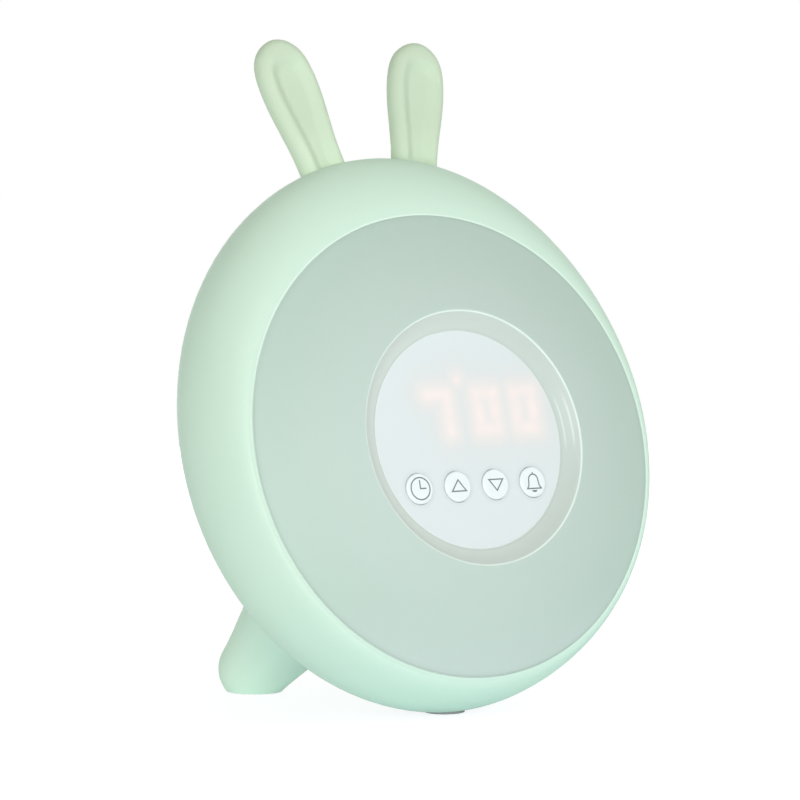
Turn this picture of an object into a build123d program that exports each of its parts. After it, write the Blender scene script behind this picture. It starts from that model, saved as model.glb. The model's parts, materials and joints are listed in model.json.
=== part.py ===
from build123d import *

import os
from math import atan2, cos, degrees, radians, sin, sqrt

# Bedside alarm clock with a night light, shaped like a leaning egg with two soft ears.
# It rests on a rubber pad under the housing and on two splayed rear feet.
# Millimetres. The origin is the centre of the base pad's underside, +Z is up, the front faces -Y.
# "Depth" is measured back from the plane of the diffuser's edge, square to the leaning face.
# "Height" on the face is measured up the face from the diffuser's centre.

# ---- Clearances ----
FIT = 0.1                    # between parts dropped into one another
RUNNING_GAP = 0.3            # between parts that pass or move beside one another
BUTTON_GAP = 0.15            # round a button in its hole
THREAD_CLEARANCE = 0.05      # round a screw in its pilot
HOLE_CLEARANCE = 0.2         # round a screw in its through hole
PILOT_SPARE = 1.0            # a pilot is this much deeper than the screw's tip

# ---- Stance ----
FACE_TILT = 15.0             # lean of the face from the vertical, degrees
PAD_PROUD = 0.3              # rubber pads stand this far below the plastic

# ---- Housing form ----
LENS_RADIUS = 68.0           # edge of the light diffuser
LIP_WIDTH = 1.2              # thin lip of the housing round the diffuser
SIDE_SHOULDER = 6.7          # the widest section stands this far beyond the diffuser's sides
END_SHOULDER = 14.8          # and this far beyond its top and bottom, before it is raised
BODY_RISE = 7.4              # height of the widest section's centre
WAIST_DEPTH = 18.4           # depth of the widest section
BACK_LENGTH = 44.2           # from the widest section to the virtual tip at the back
BACK_RISE = 3.2              # further rise of the sections towards that tip
FRONT_POWER = 1.7            # fullness of the superelliptic profiles, front and back
BACK_POWER = 2.3
PANEL_CUT = 3.4              # the flat rear panel cuts this much off the tip
SEAM_DEPTH = 45.0            # joint between front housing and rear cover
SEAM_GROOVE = 0.4            # width and depth of the groove along that joint
WALL = 2.4
FRONT_ANGLES = (0, 9, 20, 35, 52, 70)
BACK_ANGLES = (0, 16, 32, 46, 57)
SEARCH_STEPS = 400           # fineness of the searches along the housing's profile

# ---- Diffuser seat ----
SEAT_DEPTH = 6.0             # the diffuser's skirt stands on a ledge at this depth
LEDGE_WIDTH = 4.0
LEDGE_THICKNESS = 4.0
COLLAR_WALL = 2.0            # ring wall round the diffuser's skirt

# ---- Diffuser ----
DOME_RISE = 14.7             # height of the full dome if the recess were closed
DIFFUSER_WALL = 2.0
RECESS_WIDTH = 5.3           # coved wall between the recess's rim and the window
RIM_ROUNDING = 0.8
COVE_SAG = 0.5               # hollow of the recess wall

# ---- Display window ----
WINDOW_RADIUS = 31.9
WINDOW_FRONT = 6.7           # height of the window's face in front of the diffuser's edge
WINDOW_STEP = 1.7            # from that face down to the flange
FLANGE_WIDTH = 4.6
FLANGE_THICKNESS = 1.6

# ---- Front buttons ----
BUTTON_NAMES = ("clock", "up", "down", "bell")
BUTTON_RADIUS = 4.45
BUTTON_PITCH = 13.2
BUTTON_ROW = -13.6
BUTTON_PROUD = 0.8
BUTTON_LAP = 1.15            # the flange that keeps a button in its hole
BUTTON_FLANGE_THICKNESS = 1.0
BUTTON_STEM_RADIUS = 2.0

# ---- Tact switches ----
TACT_SIZE = 6.0
TACT_HEIGHT = 3.5
PLUNGER_RADIUS = 1.7
PLUNGER_PROUD = 1.0
PLUNGER_SUNK = 0.8
PLUNGER_WELL = 1.8
PLUNGER_GAP = 0.15

# ---- Display stack ----
BOARD_THICKNESS = 1.6
DISPLAY_WIDTH = 56.0
DISPLAY_HEIGHT = 19.0
DISPLAY_THICKNESS = 8.0
DISPLAY_ROW = 8.0
DIGIT_PITCH = 13.4
DIGIT_GAP = 16.7             # pitch across the colon
DIGIT_HEIGHT = 14.2
DIGIT_WIDTH = 8.0
DIGIT_LINE = 1.6             # width of a digit's segments
DIGIT_RECESS = 0.4
BAFFLE_LAP = 1.3             # the baffle's edge carries this much of the window's flange
BAFFLE_WALL = 1.6
BOARD_LEDGE = 3.2            # width of the ledge that the display board lies on
DISPLAY_SCREW_INSET = 2.0    # from the display board's pocket to its screws

# ---- Night light ----
REFLECTOR_LAP = 5.0          # the reflector's flange under the ledge
REFLECTOR_MARGIN = 4.5       # from the ledge's inner edge to the reflector's mouth
REFLECTOR_FLARE = 9.0        # from the mouth in to the floor
REFLECTOR_DEPTH = 20.4
REFLECTOR_WALL = 1.6
LED_COUNT = 12
LED_SIZE = 5.0
LED_HEIGHT = 1.5
LED_BOARD_MARGIN = 1.0
LED_BOARD_GAP = 2.2          # between the baffle and the lamp board
POST_RADIUS = 2.6
POST_LENGTH = 6.0
POST_INSET = 3.5             # from the reflector's floor edge in to the posts
BAFFLE_FLANGE_LAP = 3.0      # the baffle's flange reaches this far past the posts' centres

# ---- Small screws ----
RING_SCREWS = 3              # each ring round the face's axis has this many
POST_ANGLE = 90.0            # place of the first screw of the inner rings, degrees
LEDGE_SCREW_ANGLE = 30.0     # and of the reflector's ring
M2_SHAFT = 1.0               # radii
M2_HEAD = 1.9
M2_HEAD_HEIGHT = 1.3
M2_LENGTH = 4.0
M3_SHAFT = 1.45
M3_HEAD = 2.6
M3_HEAD_HEIGHT = 2.0

# ---- Rear cover ----
COVER_SCREW_X = 46.0
COVER_SCREW_Y = 37.0
COVER_SCREW_CENTRE = 10.0    # height of the screw pattern's centre
COVER_SEAT = 2.4             # plastic under a screw head
WELL_WALL = 1.4
BOSS_RADIUS = 4.0
BOSS_LENGTH = 12.0
GUSSET_LENGTH = 20.0
GUSSET_WALL = 2.0
SCREW_BITE = 8.0
TONGUE_LENGTH = 2.5
TONGUE_WALL = 1.3
TONGUE_GAP = 0.15

# ---- Main board and what the rear panel opens on ----
MAIN_BOARD_WIDTH = 64.0
MAIN_BOARD_HEIGHT = 34.0
MAIN_BOARD_CENTRE = -5.0
MAIN_BOARD_CORNER = 1.5
BOARD_SCREW_INSET = 3.0      # from the board's edges to its screws
STANDOFF = 7.0               # board to panel
STANDOFF_RADIUS = 2.6
USB_HEIGHT = -10.0
USB_WIDTH = 8.9
USB_THICKNESS = 3.2
USB_SHEET = 0.3
USB_TONGUE = 0.7
USB_MOUTH_DEPTH = 5.0
USB_SINK = 0.5               # the inlet's mouth lies this far under the panel's face
USB_GAP = 0.4
CONTROL_HEIGHT = 6.0         # row of power switch and lamp button
CONTROL_X = 19.0
SWITCH_WIDTH = 8.6
SWITCH_DEPTH = 4.4
SWITCH_TALL = 3.6
KNOB_WIDTH = 4.6
KNOB_DEPTH = 3.6
KNOB_PROUD = 1.0
KNOB_CORNER = 0.5
KNOB_EDGE = 0.3
KNOB_STEM = 2.0
KNOB_TRAVEL = 3.0
LAMP_BUTTON_RADIUS = 5.0
LAMP_BUTTON_PROUD = 1.2
LAMP_BUTTON_LAP = 1.4
CHIP_SIZE = 10.0             # clock and sound chip
CHIP_PLACE = (0.0, 3.0)
COIL_SIZE = 7.0              # coil of the charging circuit
COIL_X = 14.0
CHARGER_SIZE = 5.0           # charging chip
CHIP_ROW = -13.0             # row of the charging parts
CHIP_HEIGHT = 1.8

# ---- Speaker ----
SPEAKER_HEIGHT = 29.5
SPEAKER_RADIUS = 15.5
SPEAKER_RIM = 2.4
SPEAKER_RIM_THICKNESS = 1.6
SPEAKER_SHEET = 0.8
BASKET_LENGTH = 5.5
MAGNET_RADIUS = 9.0
MAGNET_LENGTH = 4.5
VOICE_COIL_RADIUS = 5.5
CONE_WALL = 0.6
CONE_DOME = 1.0
GASKET_THICKNESS = 0.8
RIB_WALL = 1.4
RIB_HEIGHT = 3.0
GRILLE_RADIUS = 11.0         # the grille's slots fill a circle
GRILLE_ROWS = 2              # rows of slots each side of the middle one
GRILLE_PITCH = 4.0
GRILLE_SLOT = 1.8

# ---- Battery ----
CELL_WIDTH = 50.0
CELL_HEIGHT = 24.0
CELL_THICKNESS = 8.0
CELL_CORNER = 2.0
CELL_CENTRE = -7.0
TAPE_THICKNESS = 1.0
TAPE_INSET = 3.0

# ---- Wiring ----
PLUG_WIDTH = 3.0
PLUG_HEIGHT = 2.5
PLUG_CHEEK = 1.0             # a plug is this much wider than its ribbon, each side
BOARD_PLUG_ROW = 9.5
DISPLAY_PLUG_ROW = 12.0
SPEAKER_PLUG_X = 14.0
BATTERY_LEAD_REACH = 3.8     # from the cell's end to its plug
RIBBON_WIDTH = 10.0
RIBBON_THICKNESS = 0.8
RIBBON_JOG = 5.0
RIBBON_BEND = 3.0
LEAD_RADIUS = 0.6
LEAD_RISE = 2.5
LEAD_BEND = 1.2
TERMINAL_ANGLE = -60.0       # place of the speaker's terminal on its rim, degrees

# ---- Ears ----
EAR_PITCH = 32.6             # between the ears where they leave the housing
EAR_DEPTH = 23.8
EAR_SPLAY = 13.7             # degrees outward
EAR_LEAN = 4.4               # degrees back from the face's plane
EAR_LENGTH = 41.6
EAR_BASE_WIDTH = 14.8
EAR_NECK = 4.0               # height of the place where the base width is measured
EAR_WIDTH = 18.4
EAR_WIDEST = 30.0            # height of the widest place above the base
EAR_THICKNESS = 8.0
EAR_ROUNDING = 3.6
SCOOP_RIM = 2.6
SCOOP_SLOPE = 1.6            # width of the scoop's sloping wall
SCOOP_DEPTH = 1.6
SCOOP_FLOOR_ROUNDING = 1.2
SCOOP_RIM_ROUNDING = 0.8
EAR_PLUG_WIDTH = 9.0
EAR_PLUG_LENGTH = 9.0
EAR_BOSS_RADIUS = 7.0
EAR_BOSS_DEPTH = 5.5
CLIP_RADIUS = 6.5
CLIP_THICKNESS = 1.5

# ---- Feet ----
FOOT_SPREAD = 51.0           # between the soles
FOOT_REACH = 64.5            # behind the base pad
FOOT_BALL = 10.8
FOOT_BALL_HEIGHT = 7.0
FOOT_ROOT_X = 20.0           # where the feet's axes meet the housing
FOOT_ROOT_HEIGHT = -33.0
FOOT_TAPER = 7.0             # degrees, where the foot's side leaves the ball
FOOT_ROOT_RADIUS = 17.0
FOOT_FLARE = 0.1             # slope of the foot's side at the root
FOOT_SINK = 9.0              # extra length that is trimmed off along the housing
FOOT_SEAT = 5.0              # screw seat inside the cover, past the root
FOOT_BOSS_RADIUS = 5.5
FOOT_SCREW_BITE = 9.0
BASE_PAD_RADIUS = 6.0
SOLE_PAD_RADIUS = 6.0
PAD_THICKNESS = 1.5

# ---- Sizes that follow ----
body_half_width = LENS_RADIUS + SIDE_SHOULDER
body_half_height = LENS_RADIUS + END_SHOULDER
panel_depth = WAIST_DEPTH + BACK_LENGTH - PANEL_CUT
panel_inner = panel_depth - WALL
ledge_inner = LENS_RADIUS - LEDGE_WIDTH
ledge_back = SEAT_DEPTH + LEDGE_THICKNESS
recess_rim = WINDOW_RADIUS + RECESS_WIDTH
flange_radius = WINDOW_RADIUS + FLANGE_WIDTH
window_seat = WINDOW_FRONT - WINDOW_STEP
window_back = window_seat - FLANGE_THICKNESS
baffle_inner = flange_radius - BAFFLE_LAP
baffle_outer = baffle_inner + BAFFLE_WALL
baffle_flange_depth = REFLECTOR_DEPTH + REFLECTOR_WALL + POST_LENGTH
display_screw_circle = baffle_inner - DISPLAY_SCREW_INSET
reflector_mouth = ledge_inner - REFLECTOR_MARGIN
reflector_floor = reflector_mouth - REFLECTOR_FLARE
reflector_flange = ledge_inner + REFLECTOR_LAP
reflector_screw_circle = ledge_inner + REFLECTOR_LAP / 2
led_board_outer = reflector_floor - LED_BOARD_MARGIN
led_board_inner = baffle_outer + LED_BOARD_GAP
led_circle = (led_board_outer + led_board_inner) / 2
post_circle = reflector_floor - POST_INSET
board_screw_x = MAIN_BOARD_WIDTH / 2 - BOARD_SCREW_INSET
board_screw_y = MAIN_BOARD_HEIGHT / 2 - BOARD_SCREW_INSET
plug_thickness = EAR_THICKNESS - 2 * SCOOP_DEPTH - 2 * FIT
battery_plug_x = CELL_WIDTH / 2 + BATTERY_LEAD_REACH

os.makedirs("parts", exist_ok=True)


def write(piece, name):
    """Label a finished piece and write it to its own file."""
    piece.part.label = name
    export_step(piece.part, f"parts/{name}.step")


# ---- Shape of the housing ----
def housing_section(depth, inset=0.0):
    """Half width, half height and centre height of the housing at a depth behind the diffuser's edge."""
    if depth < WAIST_DEPTH:
        reach = (WAIST_DEPTH - depth) / (WAIST_DEPTH - inset)
        swell = (1 - reach**FRONT_POWER) ** (1 / FRONT_POWER)
        lip = LENS_RADIUS + LIP_WIDTH
        half_width = lip - inset + (body_half_width - lip) * swell
        half_height = lip - inset + (body_half_height - lip) * swell
        return half_width, half_height, BODY_RISE * swell
    reach = (depth - WAIST_DEPTH) / (BACK_LENGTH - inset)
    taper = (1 - reach**BACK_POWER) ** (1 / BACK_POWER)
    centre = BODY_RISE + BACK_RISE * (depth - WAIST_DEPTH) / BACK_LENGTH
    return (body_half_width - inset) * taper, (body_half_height - inset) * taper, centre


def housing_depths(inset):
    """Depths of the sections, close together where the form turns quickly."""
    front = [
        WAIST_DEPTH - (WAIST_DEPTH - inset) * cos(radians(angle)) ** (2 / FRONT_POWER)
        for angle in FRONT_ANGLES
    ]
    back = [
        WAIST_DEPTH + (BACK_LENGTH - inset) * sin(radians(angle)) ** (2 / BACK_POWER)
        for angle in BACK_ANGLES
    ]
    return front + back + [panel_depth - inset]


def back_depth(across, height):
    """Depth at which a line square to the face leaves the back of the housing."""
    near, far = WAIST_DEPTH, panel_depth
    for _ in range(SEARCH_STEPS):
        depth = (near + far) / 2
        half_width, half_height, centre = housing_section(depth)
        inside = (across / half_width) ** 2 + ((height - centre) / half_height) ** 2 < 1
        near, far = (depth, far) if inside else (near, depth)
    return near


def underside(depth):
    """Y and Z, from the diffuser's centre, of the housing's lower profile in the middle plane."""
    _, half_height, centre = housing_section(depth)
    height = centre - half_height
    tilt = radians(FACE_TILT)
    return height * sin(tilt) + depth * cos(tilt), height * cos(tilt) - depth * sin(tilt)


underside_points = [underside(SEAM_DEPTH * step / SEARCH_STEPS) for step in range(SEARCH_STEPS)]
lowest_y, lowest_z = min(underside_points, key=lambda point: point[1])

# The face's own plane: X to the right, Y up the face, Z out of the face.
face = Plane(
    origin=(0, -lowest_y, PAD_PROUD - lowest_z),
    x_dir=(1, 0, 0),
    z_dir=(0, -cos(radians(FACE_TILT)), sin(radians(FACE_TILT))),
)
# Profiles turned about the face's axis are drawn here: X is the radius, Y the height before the face.
profile_plane = Plane(origin=face.origin, x_dir=face.x_dir, z_dir=-face.y_dir)
face_axis = Axis(face.origin, face.z_dir)


def housing_form(inset):
    """The egg-shaped form of the housing, moved inward by inset."""
    with BuildPart() as form:
        for depth in housing_depths(inset):
            half_width, half_height, centre = housing_section(depth, inset)
            with BuildSketch(face.offset(-depth)):
                with Locations((0, centre)):
                    Ellipse(half_width, half_height)
        loft()
    return form.part


outer_form = housing_form(0)
inner_form = housing_form(WALL)
cover_screw_places = [
    (side * COVER_SCREW_X, COVER_SCREW_CENTRE + level * COVER_SCREW_Y)
    for side in (-1, 1)
    for level in (-1, 1)
]
# A gusset runs from each screw boss outward to the wall.
gusset_places = [Location((x, y), degrees(atan2(y - COVER_SCREW_CENTRE, x))) for x, y in cover_screw_places]


# ---- Ears and feet are placed on planes of their own ----
def ear_planes(side):
    """The ear's own plane, X across, Y up the ear, Z to its front, and the plane square to its length."""
    half_width, half_height, centre = housing_section(EAR_DEPTH)
    across = side * EAR_PITCH / 2
    height = centre + half_height * sqrt(1 - (across / half_width) ** 2)
    base = face.from_local_coords(Vector(across, height, -EAR_DEPTH))
    along = (
        face.y_dir * cos(radians(EAR_SPLAY)) * cos(radians(EAR_LEAN))
        + face.x_dir * side * sin(radians(EAR_SPLAY))
        - face.z_dir * sin(radians(EAR_LEAN))
    ).normalized()
    x_dir = along.cross(face.z_dir).normalized()
    root_plane = Plane(origin=base, x_dir=x_dir, z_dir=along)
    return Plane(origin=base, x_dir=x_dir, z_dir=x_dir.cross(along)), root_plane


def foot_plane(side):
    """A plane at the centre of the foot's ball, square to its axis, and the distance to the housing."""
    ball = Vector(side * FOOT_SPREAD / 2, FOOT_REACH, FOOT_BALL_HEIGHT)
    root_depth = back_depth(FOOT_ROOT_X, FOOT_ROOT_HEIGHT)
    root = face.from_local_coords(Vector(side * FOOT_ROOT_X, FOOT_ROOT_HEIGHT, -root_depth))
    return Plane(origin=ball, z_dir=(root - ball).normalized()), (root - ball).length


# ---- Front housing ----
with BuildPart() as cavity:
    add(inner_form)
    with BuildSketch(face):
        Circle(LENS_RADIUS + FIT + COLLAR_WALL)
    extrude(amount=-ledge_back, mode=Mode.SUBTRACT)

with BuildPart() as cover_bosses:
    with BuildSketch(face.offset(-SEAM_DEPTH)):
        with Locations(*gusset_places):
            Circle(BOSS_RADIUS)
            Rectangle(GUSSET_LENGTH, GUSSET_WALL, align=(Align.MIN, Align.CENTER))
    extrude(amount=BOSS_LENGTH)
    add(outer_form, mode=Mode.INTERSECT)

with BuildPart() as ear_bosses:
    for side in (-1, 1):
        with BuildSketch(ear_planes(side)[1].offset(-EAR_BOSS_DEPTH)):
            Circle(EAR_BOSS_RADIUS)
        extrude(amount=EAR_BOSS_DEPTH)
    add(outer_form, mode=Mode.INTERSECT)

with BuildPart() as body_shell:
    add(outer_form)
    add(cavity.part, mode=Mode.SUBTRACT)
    add(cover_bosses.part)
    split(bisect_by=face.offset(-SEAM_DEPTH), keep=Keep.TOP)
    add(ear_bosses.part)
    with BuildSketch(face):
        Circle(LENS_RADIUS + FIT)
    extrude(amount=-SEAT_DEPTH, mode=Mode.SUBTRACT)
    with BuildSketch(face):
        Circle(ledge_inner)
    extrude(amount=-ledge_back, mode=Mode.SUBTRACT)
    with BuildSketch(face.offset(-ledge_back)):
        with PolarLocations(reflector_screw_circle, RING_SCREWS, start_angle=LEDGE_SCREW_ANGLE):
            Circle(M2_SHAFT + THREAD_CLEARANCE)
    extrude(amount=M2_LENGTH - REFLECTOR_WALL + PILOT_SPARE / 2, mode=Mode.SUBTRACT)
    with BuildSketch(face.offset(-SEAM_DEPTH)):
        with Locations(*cover_screw_places):
            Circle(M3_SHAFT + THREAD_CLEARANCE)
    extrude(amount=SCREW_BITE + PILOT_SPARE, mode=Mode.SUBTRACT)
    for side in (-1, 1):
        with BuildSketch(ear_planes(side)[1].offset(-EAR_BOSS_DEPTH)):
            SlotOverall(EAR_PLUG_WIDTH + 2 * FIT, plug_thickness + 2 * FIT)
        extrude(amount=EAR_BOSS_DEPTH + WALL, mode=Mode.SUBTRACT)
    with BuildSketch(Plane.XY):
        Circle(BASE_PAD_RADIUS + FIT)
    extrude(amount=PAD_THICKNESS, mode=Mode.SUBTRACT)
write(body_shell, "body_shell")

with BuildPart() as base_pad:
    with BuildSketch(Plane.XY):
        Circle(BASE_PAD_RADIUS)
    extrude(amount=PAD_THICKNESS)
write(base_pad, "base_pad")

# ---- Rear cover ----
with BuildPart() as cover_tongue:
    add(housing_form(WALL + TONGUE_GAP))
    add(housing_form(WALL + TONGUE_GAP + TONGUE_WALL), mode=Mode.SUBTRACT)
    split(bisect_by=face.offset(TONGUE_LENGTH - SEAM_DEPTH), keep=Keep.BOTTOM)
    split(bisect_by=face.offset(-SEAM_DEPTH - TONGUE_LENGTH), keep=Keep.TOP)
    with BuildSketch(face.offset(-SEAM_DEPTH)):
        with Locations(*gusset_places):
            Circle(BOSS_RADIUS + RUNNING_GAP)
            Rectangle(GUSSET_LENGTH, GUSSET_WALL + 2 * RUNNING_GAP, align=(Align.MIN, Align.CENTER))
    extrude(amount=TONGUE_LENGTH, mode=Mode.SUBTRACT)

with BuildPart() as cover_fittings:
    with BuildSketch(face.offset(-SEAM_DEPTH)):
        with Locations(*cover_screw_places):
            Circle(M3_HEAD + HOLE_CLEARANCE + WELL_WALL)
    extrude(amount=SEAM_DEPTH - panel_depth)
    with BuildSketch(face.offset(-panel_inner)):
        with Locations((0, MAIN_BOARD_CENTRE)):
            with GridLocations(2 * board_screw_x, 2 * board_screw_y, 2, 2):
                Circle(STANDOFF_RADIUS)
    extrude(amount=STANDOFF)
    with BuildSketch(face.offset(-panel_inner)):
        with Locations((0, SPEAKER_HEIGHT)):
            Circle(SPEAKER_RADIUS + RUNNING_GAP + RIB_WALL)
            Circle(SPEAKER_RADIUS + RUNNING_GAP, mode=Mode.SUBTRACT)
    extrude(amount=RIB_HEIGHT)
    for side in (-1, 1):
        plane, distance = foot_plane(side)
        with BuildSketch(plane.offset(distance + FOOT_SEAT)):
            Circle(FOOT_BOSS_RADIUS)
        extrude(amount=-2 * FOOT_SEAT)
    add(outer_form, mode=Mode.INTERSECT)

seam_half_width, seam_half_height, seam_centre = housing_section(SEAM_DEPTH)
with BuildPart() as rear_cover:
    add(outer_form)
    add(inner_form, mode=Mode.SUBTRACT)
    split(bisect_by=face.offset(-SEAM_DEPTH), keep=Keep.BOTTOM)
    with BuildSketch(face.offset(-SEAM_DEPTH)):
        with Locations((0, seam_centre)):
            Ellipse(seam_half_width + SEAM_GROOVE, seam_half_height + SEAM_GROOVE)
            Ellipse(seam_half_width - SEAM_GROOVE, seam_half_height - SEAM_GROOVE, mode=Mode.SUBTRACT)
    extrude(amount=-SEAM_GROOVE, mode=Mode.SUBTRACT)
    add(cover_tongue.part)
    add(cover_fittings.part)
    with BuildSketch(face.offset(-panel_depth)):
        with Locations(*cover_screw_places):
            Circle(M3_HEAD + HOLE_CLEARANCE)
    extrude(amount=panel_depth - SEAM_DEPTH - COVER_SEAT, mode=Mode.SUBTRACT)
    with BuildSketch(face.offset(-panel_depth)):
        with Locations(*cover_screw_places):
            Circle(M3_SHAFT + HOLE_CLEARANCE)
    extrude(amount=panel_depth - SEAM_DEPTH, mode=Mode.SUBTRACT)
    with BuildSketch(face.offset(STANDOFF - panel_inner)):
        with Locations((0, MAIN_BOARD_CENTRE)):
            with GridLocations(2 * board_screw_x, 2 * board_screw_y, 2, 2):
                Circle(M2_SHAFT + THREAD_CLEARANCE)
    extrude(amount=PILOT_SPARE - STANDOFF, mode=Mode.SUBTRACT)
    with BuildSketch(face.offset(-panel_depth)):
        for row in range(-GRILLE_ROWS, GRILLE_ROWS + 1):
            with Locations((0, SPEAKER_HEIGHT + row * GRILLE_PITCH)):
                SlotOverall(2 * sqrt(GRILLE_RADIUS**2 - (row * GRILLE_PITCH) ** 2), GRILLE_SLOT)
        with Locations((0, USB_HEIGHT)):
            SlotOverall(USB_WIDTH + 2 * USB_GAP, USB_THICKNESS + 2 * USB_GAP)
        with Locations((-CONTROL_X, CONTROL_HEIGHT)):
            Rectangle(KNOB_WIDTH + KNOB_TRAVEL + 2 * RUNNING_GAP, KNOB_DEPTH + 2 * RUNNING_GAP)
        with Locations((CONTROL_X, CONTROL_HEIGHT)):
            Circle(LAMP_BUTTON_RADIUS + BUTTON_GAP)
    extrude(amount=WALL, mode=Mode.SUBTRACT)
    for side in (-1, 1):
        plane, distance = foot_plane(side)
        with BuildSketch(plane.offset(distance + FOOT_SEAT)):
            Circle(M3_SHAFT + HOLE_CLEARANCE)
        extrude(amount=-2 * FOOT_SEAT, mode=Mode.SUBTRACT)
write(rear_cover, "rear_cover")


# ---- Night light: diffuser, reflector, lamp board ----
def dome_height(radius):
    """Height of the diffuser's outer face before its edge."""
    dome_radius = (LENS_RADIUS**2 + DOME_RISE**2) / (2 * DOME_RISE)
    return sqrt(dome_radius**2 - radius**2) - (dome_radius - DOME_RISE)


def dome_arc(start, end, wall):
    """An arc of the dome's section between two radii, wall behind the outer face."""
    middle = (start + end) / 2
    ThreePointArc(*((radius, dome_height(radius) - wall) for radius in (start, middle, end)))


skirt_inner = LENS_RADIUS - DIFFUSER_WALL
rim_height = dome_height(recess_rim)
window_hole = WINDOW_RADIUS + FIT
seat_edge = flange_radius + DIFFUSER_WALL

with BuildPart() as light_diffuser:
    with BuildSketch(profile_plane):
        with BuildLine():
            Polyline(
                (skirt_inner, dome_height(skirt_inner) - DIFFUSER_WALL),
                (skirt_inner, -SEAT_DEPTH),
                (LENS_RADIUS, -SEAT_DEPTH),
                (LENS_RADIUS, 0),
            )
            dome_arc(LENS_RADIUS, recess_rim, 0)
            SagittaArc((recess_rim, rim_height), (window_hole, WINDOW_FRONT), COVE_SAG)
            Polyline(
                (window_hole, WINDOW_FRONT),
                (window_hole, window_seat),
                (flange_radius + FIT, window_seat),
                (seat_edge, dome_height(seat_edge) - DIFFUSER_WALL),
            )
            dome_arc(seat_edge, skirt_inner, DIFFUSER_WALL)
        make_face()
    revolve(axis=face_axis)
    fillet(light_diffuser.edges().filter_by(GeomType.CIRCLE).sort_by(face_axis)[-1], RIM_ROUNDING)
write(light_diffuser, "light_diffuser")

with BuildPart() as reflector:
    with BuildSketch(profile_plane):
        with BuildLine():
            Polyline(
                (baffle_outer + 2 * FIT, -REFLECTOR_DEPTH),
                (reflector_floor, -REFLECTOR_DEPTH),
                (reflector_mouth, -ledge_back),
                (reflector_flange, -ledge_back),
                (reflector_flange, -ledge_back - REFLECTOR_WALL),
                (reflector_mouth + REFLECTOR_WALL / 2, -ledge_back - REFLECTOR_WALL),
                (reflector_floor + REFLECTOR_WALL / 2, -REFLECTOR_DEPTH - REFLECTOR_WALL),
                (baffle_outer + 2 * FIT, -REFLECTOR_DEPTH - REFLECTOR_WALL),
                close=True,
            )
        make_face()
    revolve(axis=face_axis)
    with BuildSketch(face.offset(-REFLECTOR_DEPTH)):
        with PolarLocations(post_circle, RING_SCREWS, start_angle=POST_ANGLE):
            Circle(POST_RADIUS)
    extrude(amount=REFLECTOR_DEPTH - baffle_flange_depth)
    with BuildSketch(face.offset(-baffle_flange_depth)):
        with PolarLocations(post_circle, RING_SCREWS, start_angle=POST_ANGLE):
            Circle(M2_SHAFT + THREAD_CLEARANCE)
    extrude(amount=POST_LENGTH, mode=Mode.SUBTRACT)
    with BuildSketch(face.offset(-ledge_back)):
        with PolarLocations(reflector_screw_circle, RING_SCREWS, start_angle=LEDGE_SCREW_ANGLE):
            Circle(M2_SHAFT + HOLE_CLEARANCE)
    extrude(amount=-REFLECTOR_WALL, mode=Mode.SUBTRACT)
write(reflector, "reflector")

led_board_front = REFLECTOR_DEPTH - BOARD_THICKNESS
with BuildPart() as led_board:
    with BuildSketch(face.offset(-REFLECTOR_DEPTH)):
        Circle(led_board_outer)
        Circle(led_board_inner, mode=Mode.SUBTRACT)
    extrude(amount=BOARD_THICKNESS)
write(led_board, "led_board")

with BuildPart() as lamp_leds:
    with BuildSketch(face.offset(-led_board_front)):
        with PolarLocations(led_circle, LED_COUNT, start_angle=180 / LED_COUNT):
            Rectangle(LED_SIZE, LED_SIZE)
    extrude(amount=LED_HEIGHT)
write(lamp_leds, "lamp_leds")

# ---- Display: window, buttons, digits, board, baffle ----
button_row_middle = (len(BUTTON_NAMES) - 1) / 2
button_places = [
    ((index - button_row_middle) * BUTTON_PITCH, BUTTON_ROW) for index in range(len(BUTTON_NAMES))
]
flange_front = window_back - RUNNING_GAP
flange_back = flange_front - BUTTON_FLANGE_THICKNESS
display_front = window_back - RUNNING_GAP
board_front = display_front - DISPLAY_THICKNESS
board_back = board_front - BOARD_THICKNESS
tact_top = board_front + TACT_HEIGHT
plunger_top = tact_top + PLUNGER_PROUD

with BuildPart() as display_window:
    with BuildSketch(face.offset(WINDOW_FRONT)):
        Circle(WINDOW_RADIUS)
    extrude(amount=-WINDOW_STEP)
    with BuildSketch(face.offset(window_seat)):
        Circle(flange_radius)
    extrude(amount=-FLANGE_THICKNESS)
    with BuildSketch(face.offset(WINDOW_FRONT)):
        with Locations(*button_places):
            Circle(BUTTON_RADIUS + BUTTON_GAP)
    extrude(amount=window_back - WINDOW_FRONT, mode=Mode.SUBTRACT)
write(display_window, "display_window")

for name, place in zip(BUTTON_NAMES, button_places):
    with BuildPart() as button:
        with BuildSketch(face.offset(flange_front)):
            with Locations(place):
                Circle(BUTTON_RADIUS)
        extrude(amount=WINDOW_FRONT + BUTTON_PROUD - flange_front)
        chamfer(button.faces().sort_by(face_axis)[-1].edges(), BUTTON_PROUD / 2)
        with BuildSketch(face.offset(flange_front)):
            with Locations(place):
                Circle(BUTTON_RADIUS + BUTTON_LAP)
        extrude(amount=-BUTTON_FLANGE_THICKNESS)
        with BuildSketch(face.offset(flange_back)):
            with Locations(place):
                Circle(BUTTON_STEM_RADIUS)
        extrude(amount=plunger_top - flange_back)
    write(button, f"{name}_button")

    with BuildPart() as plunger:
        with BuildSketch(face.offset(plunger_top)):
            with Locations(place):
                Circle(PLUNGER_RADIUS)
        extrude(amount=-PLUNGER_PROUD - PLUNGER_SUNK)
    write(plunger, f"{name}_plunger")

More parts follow.
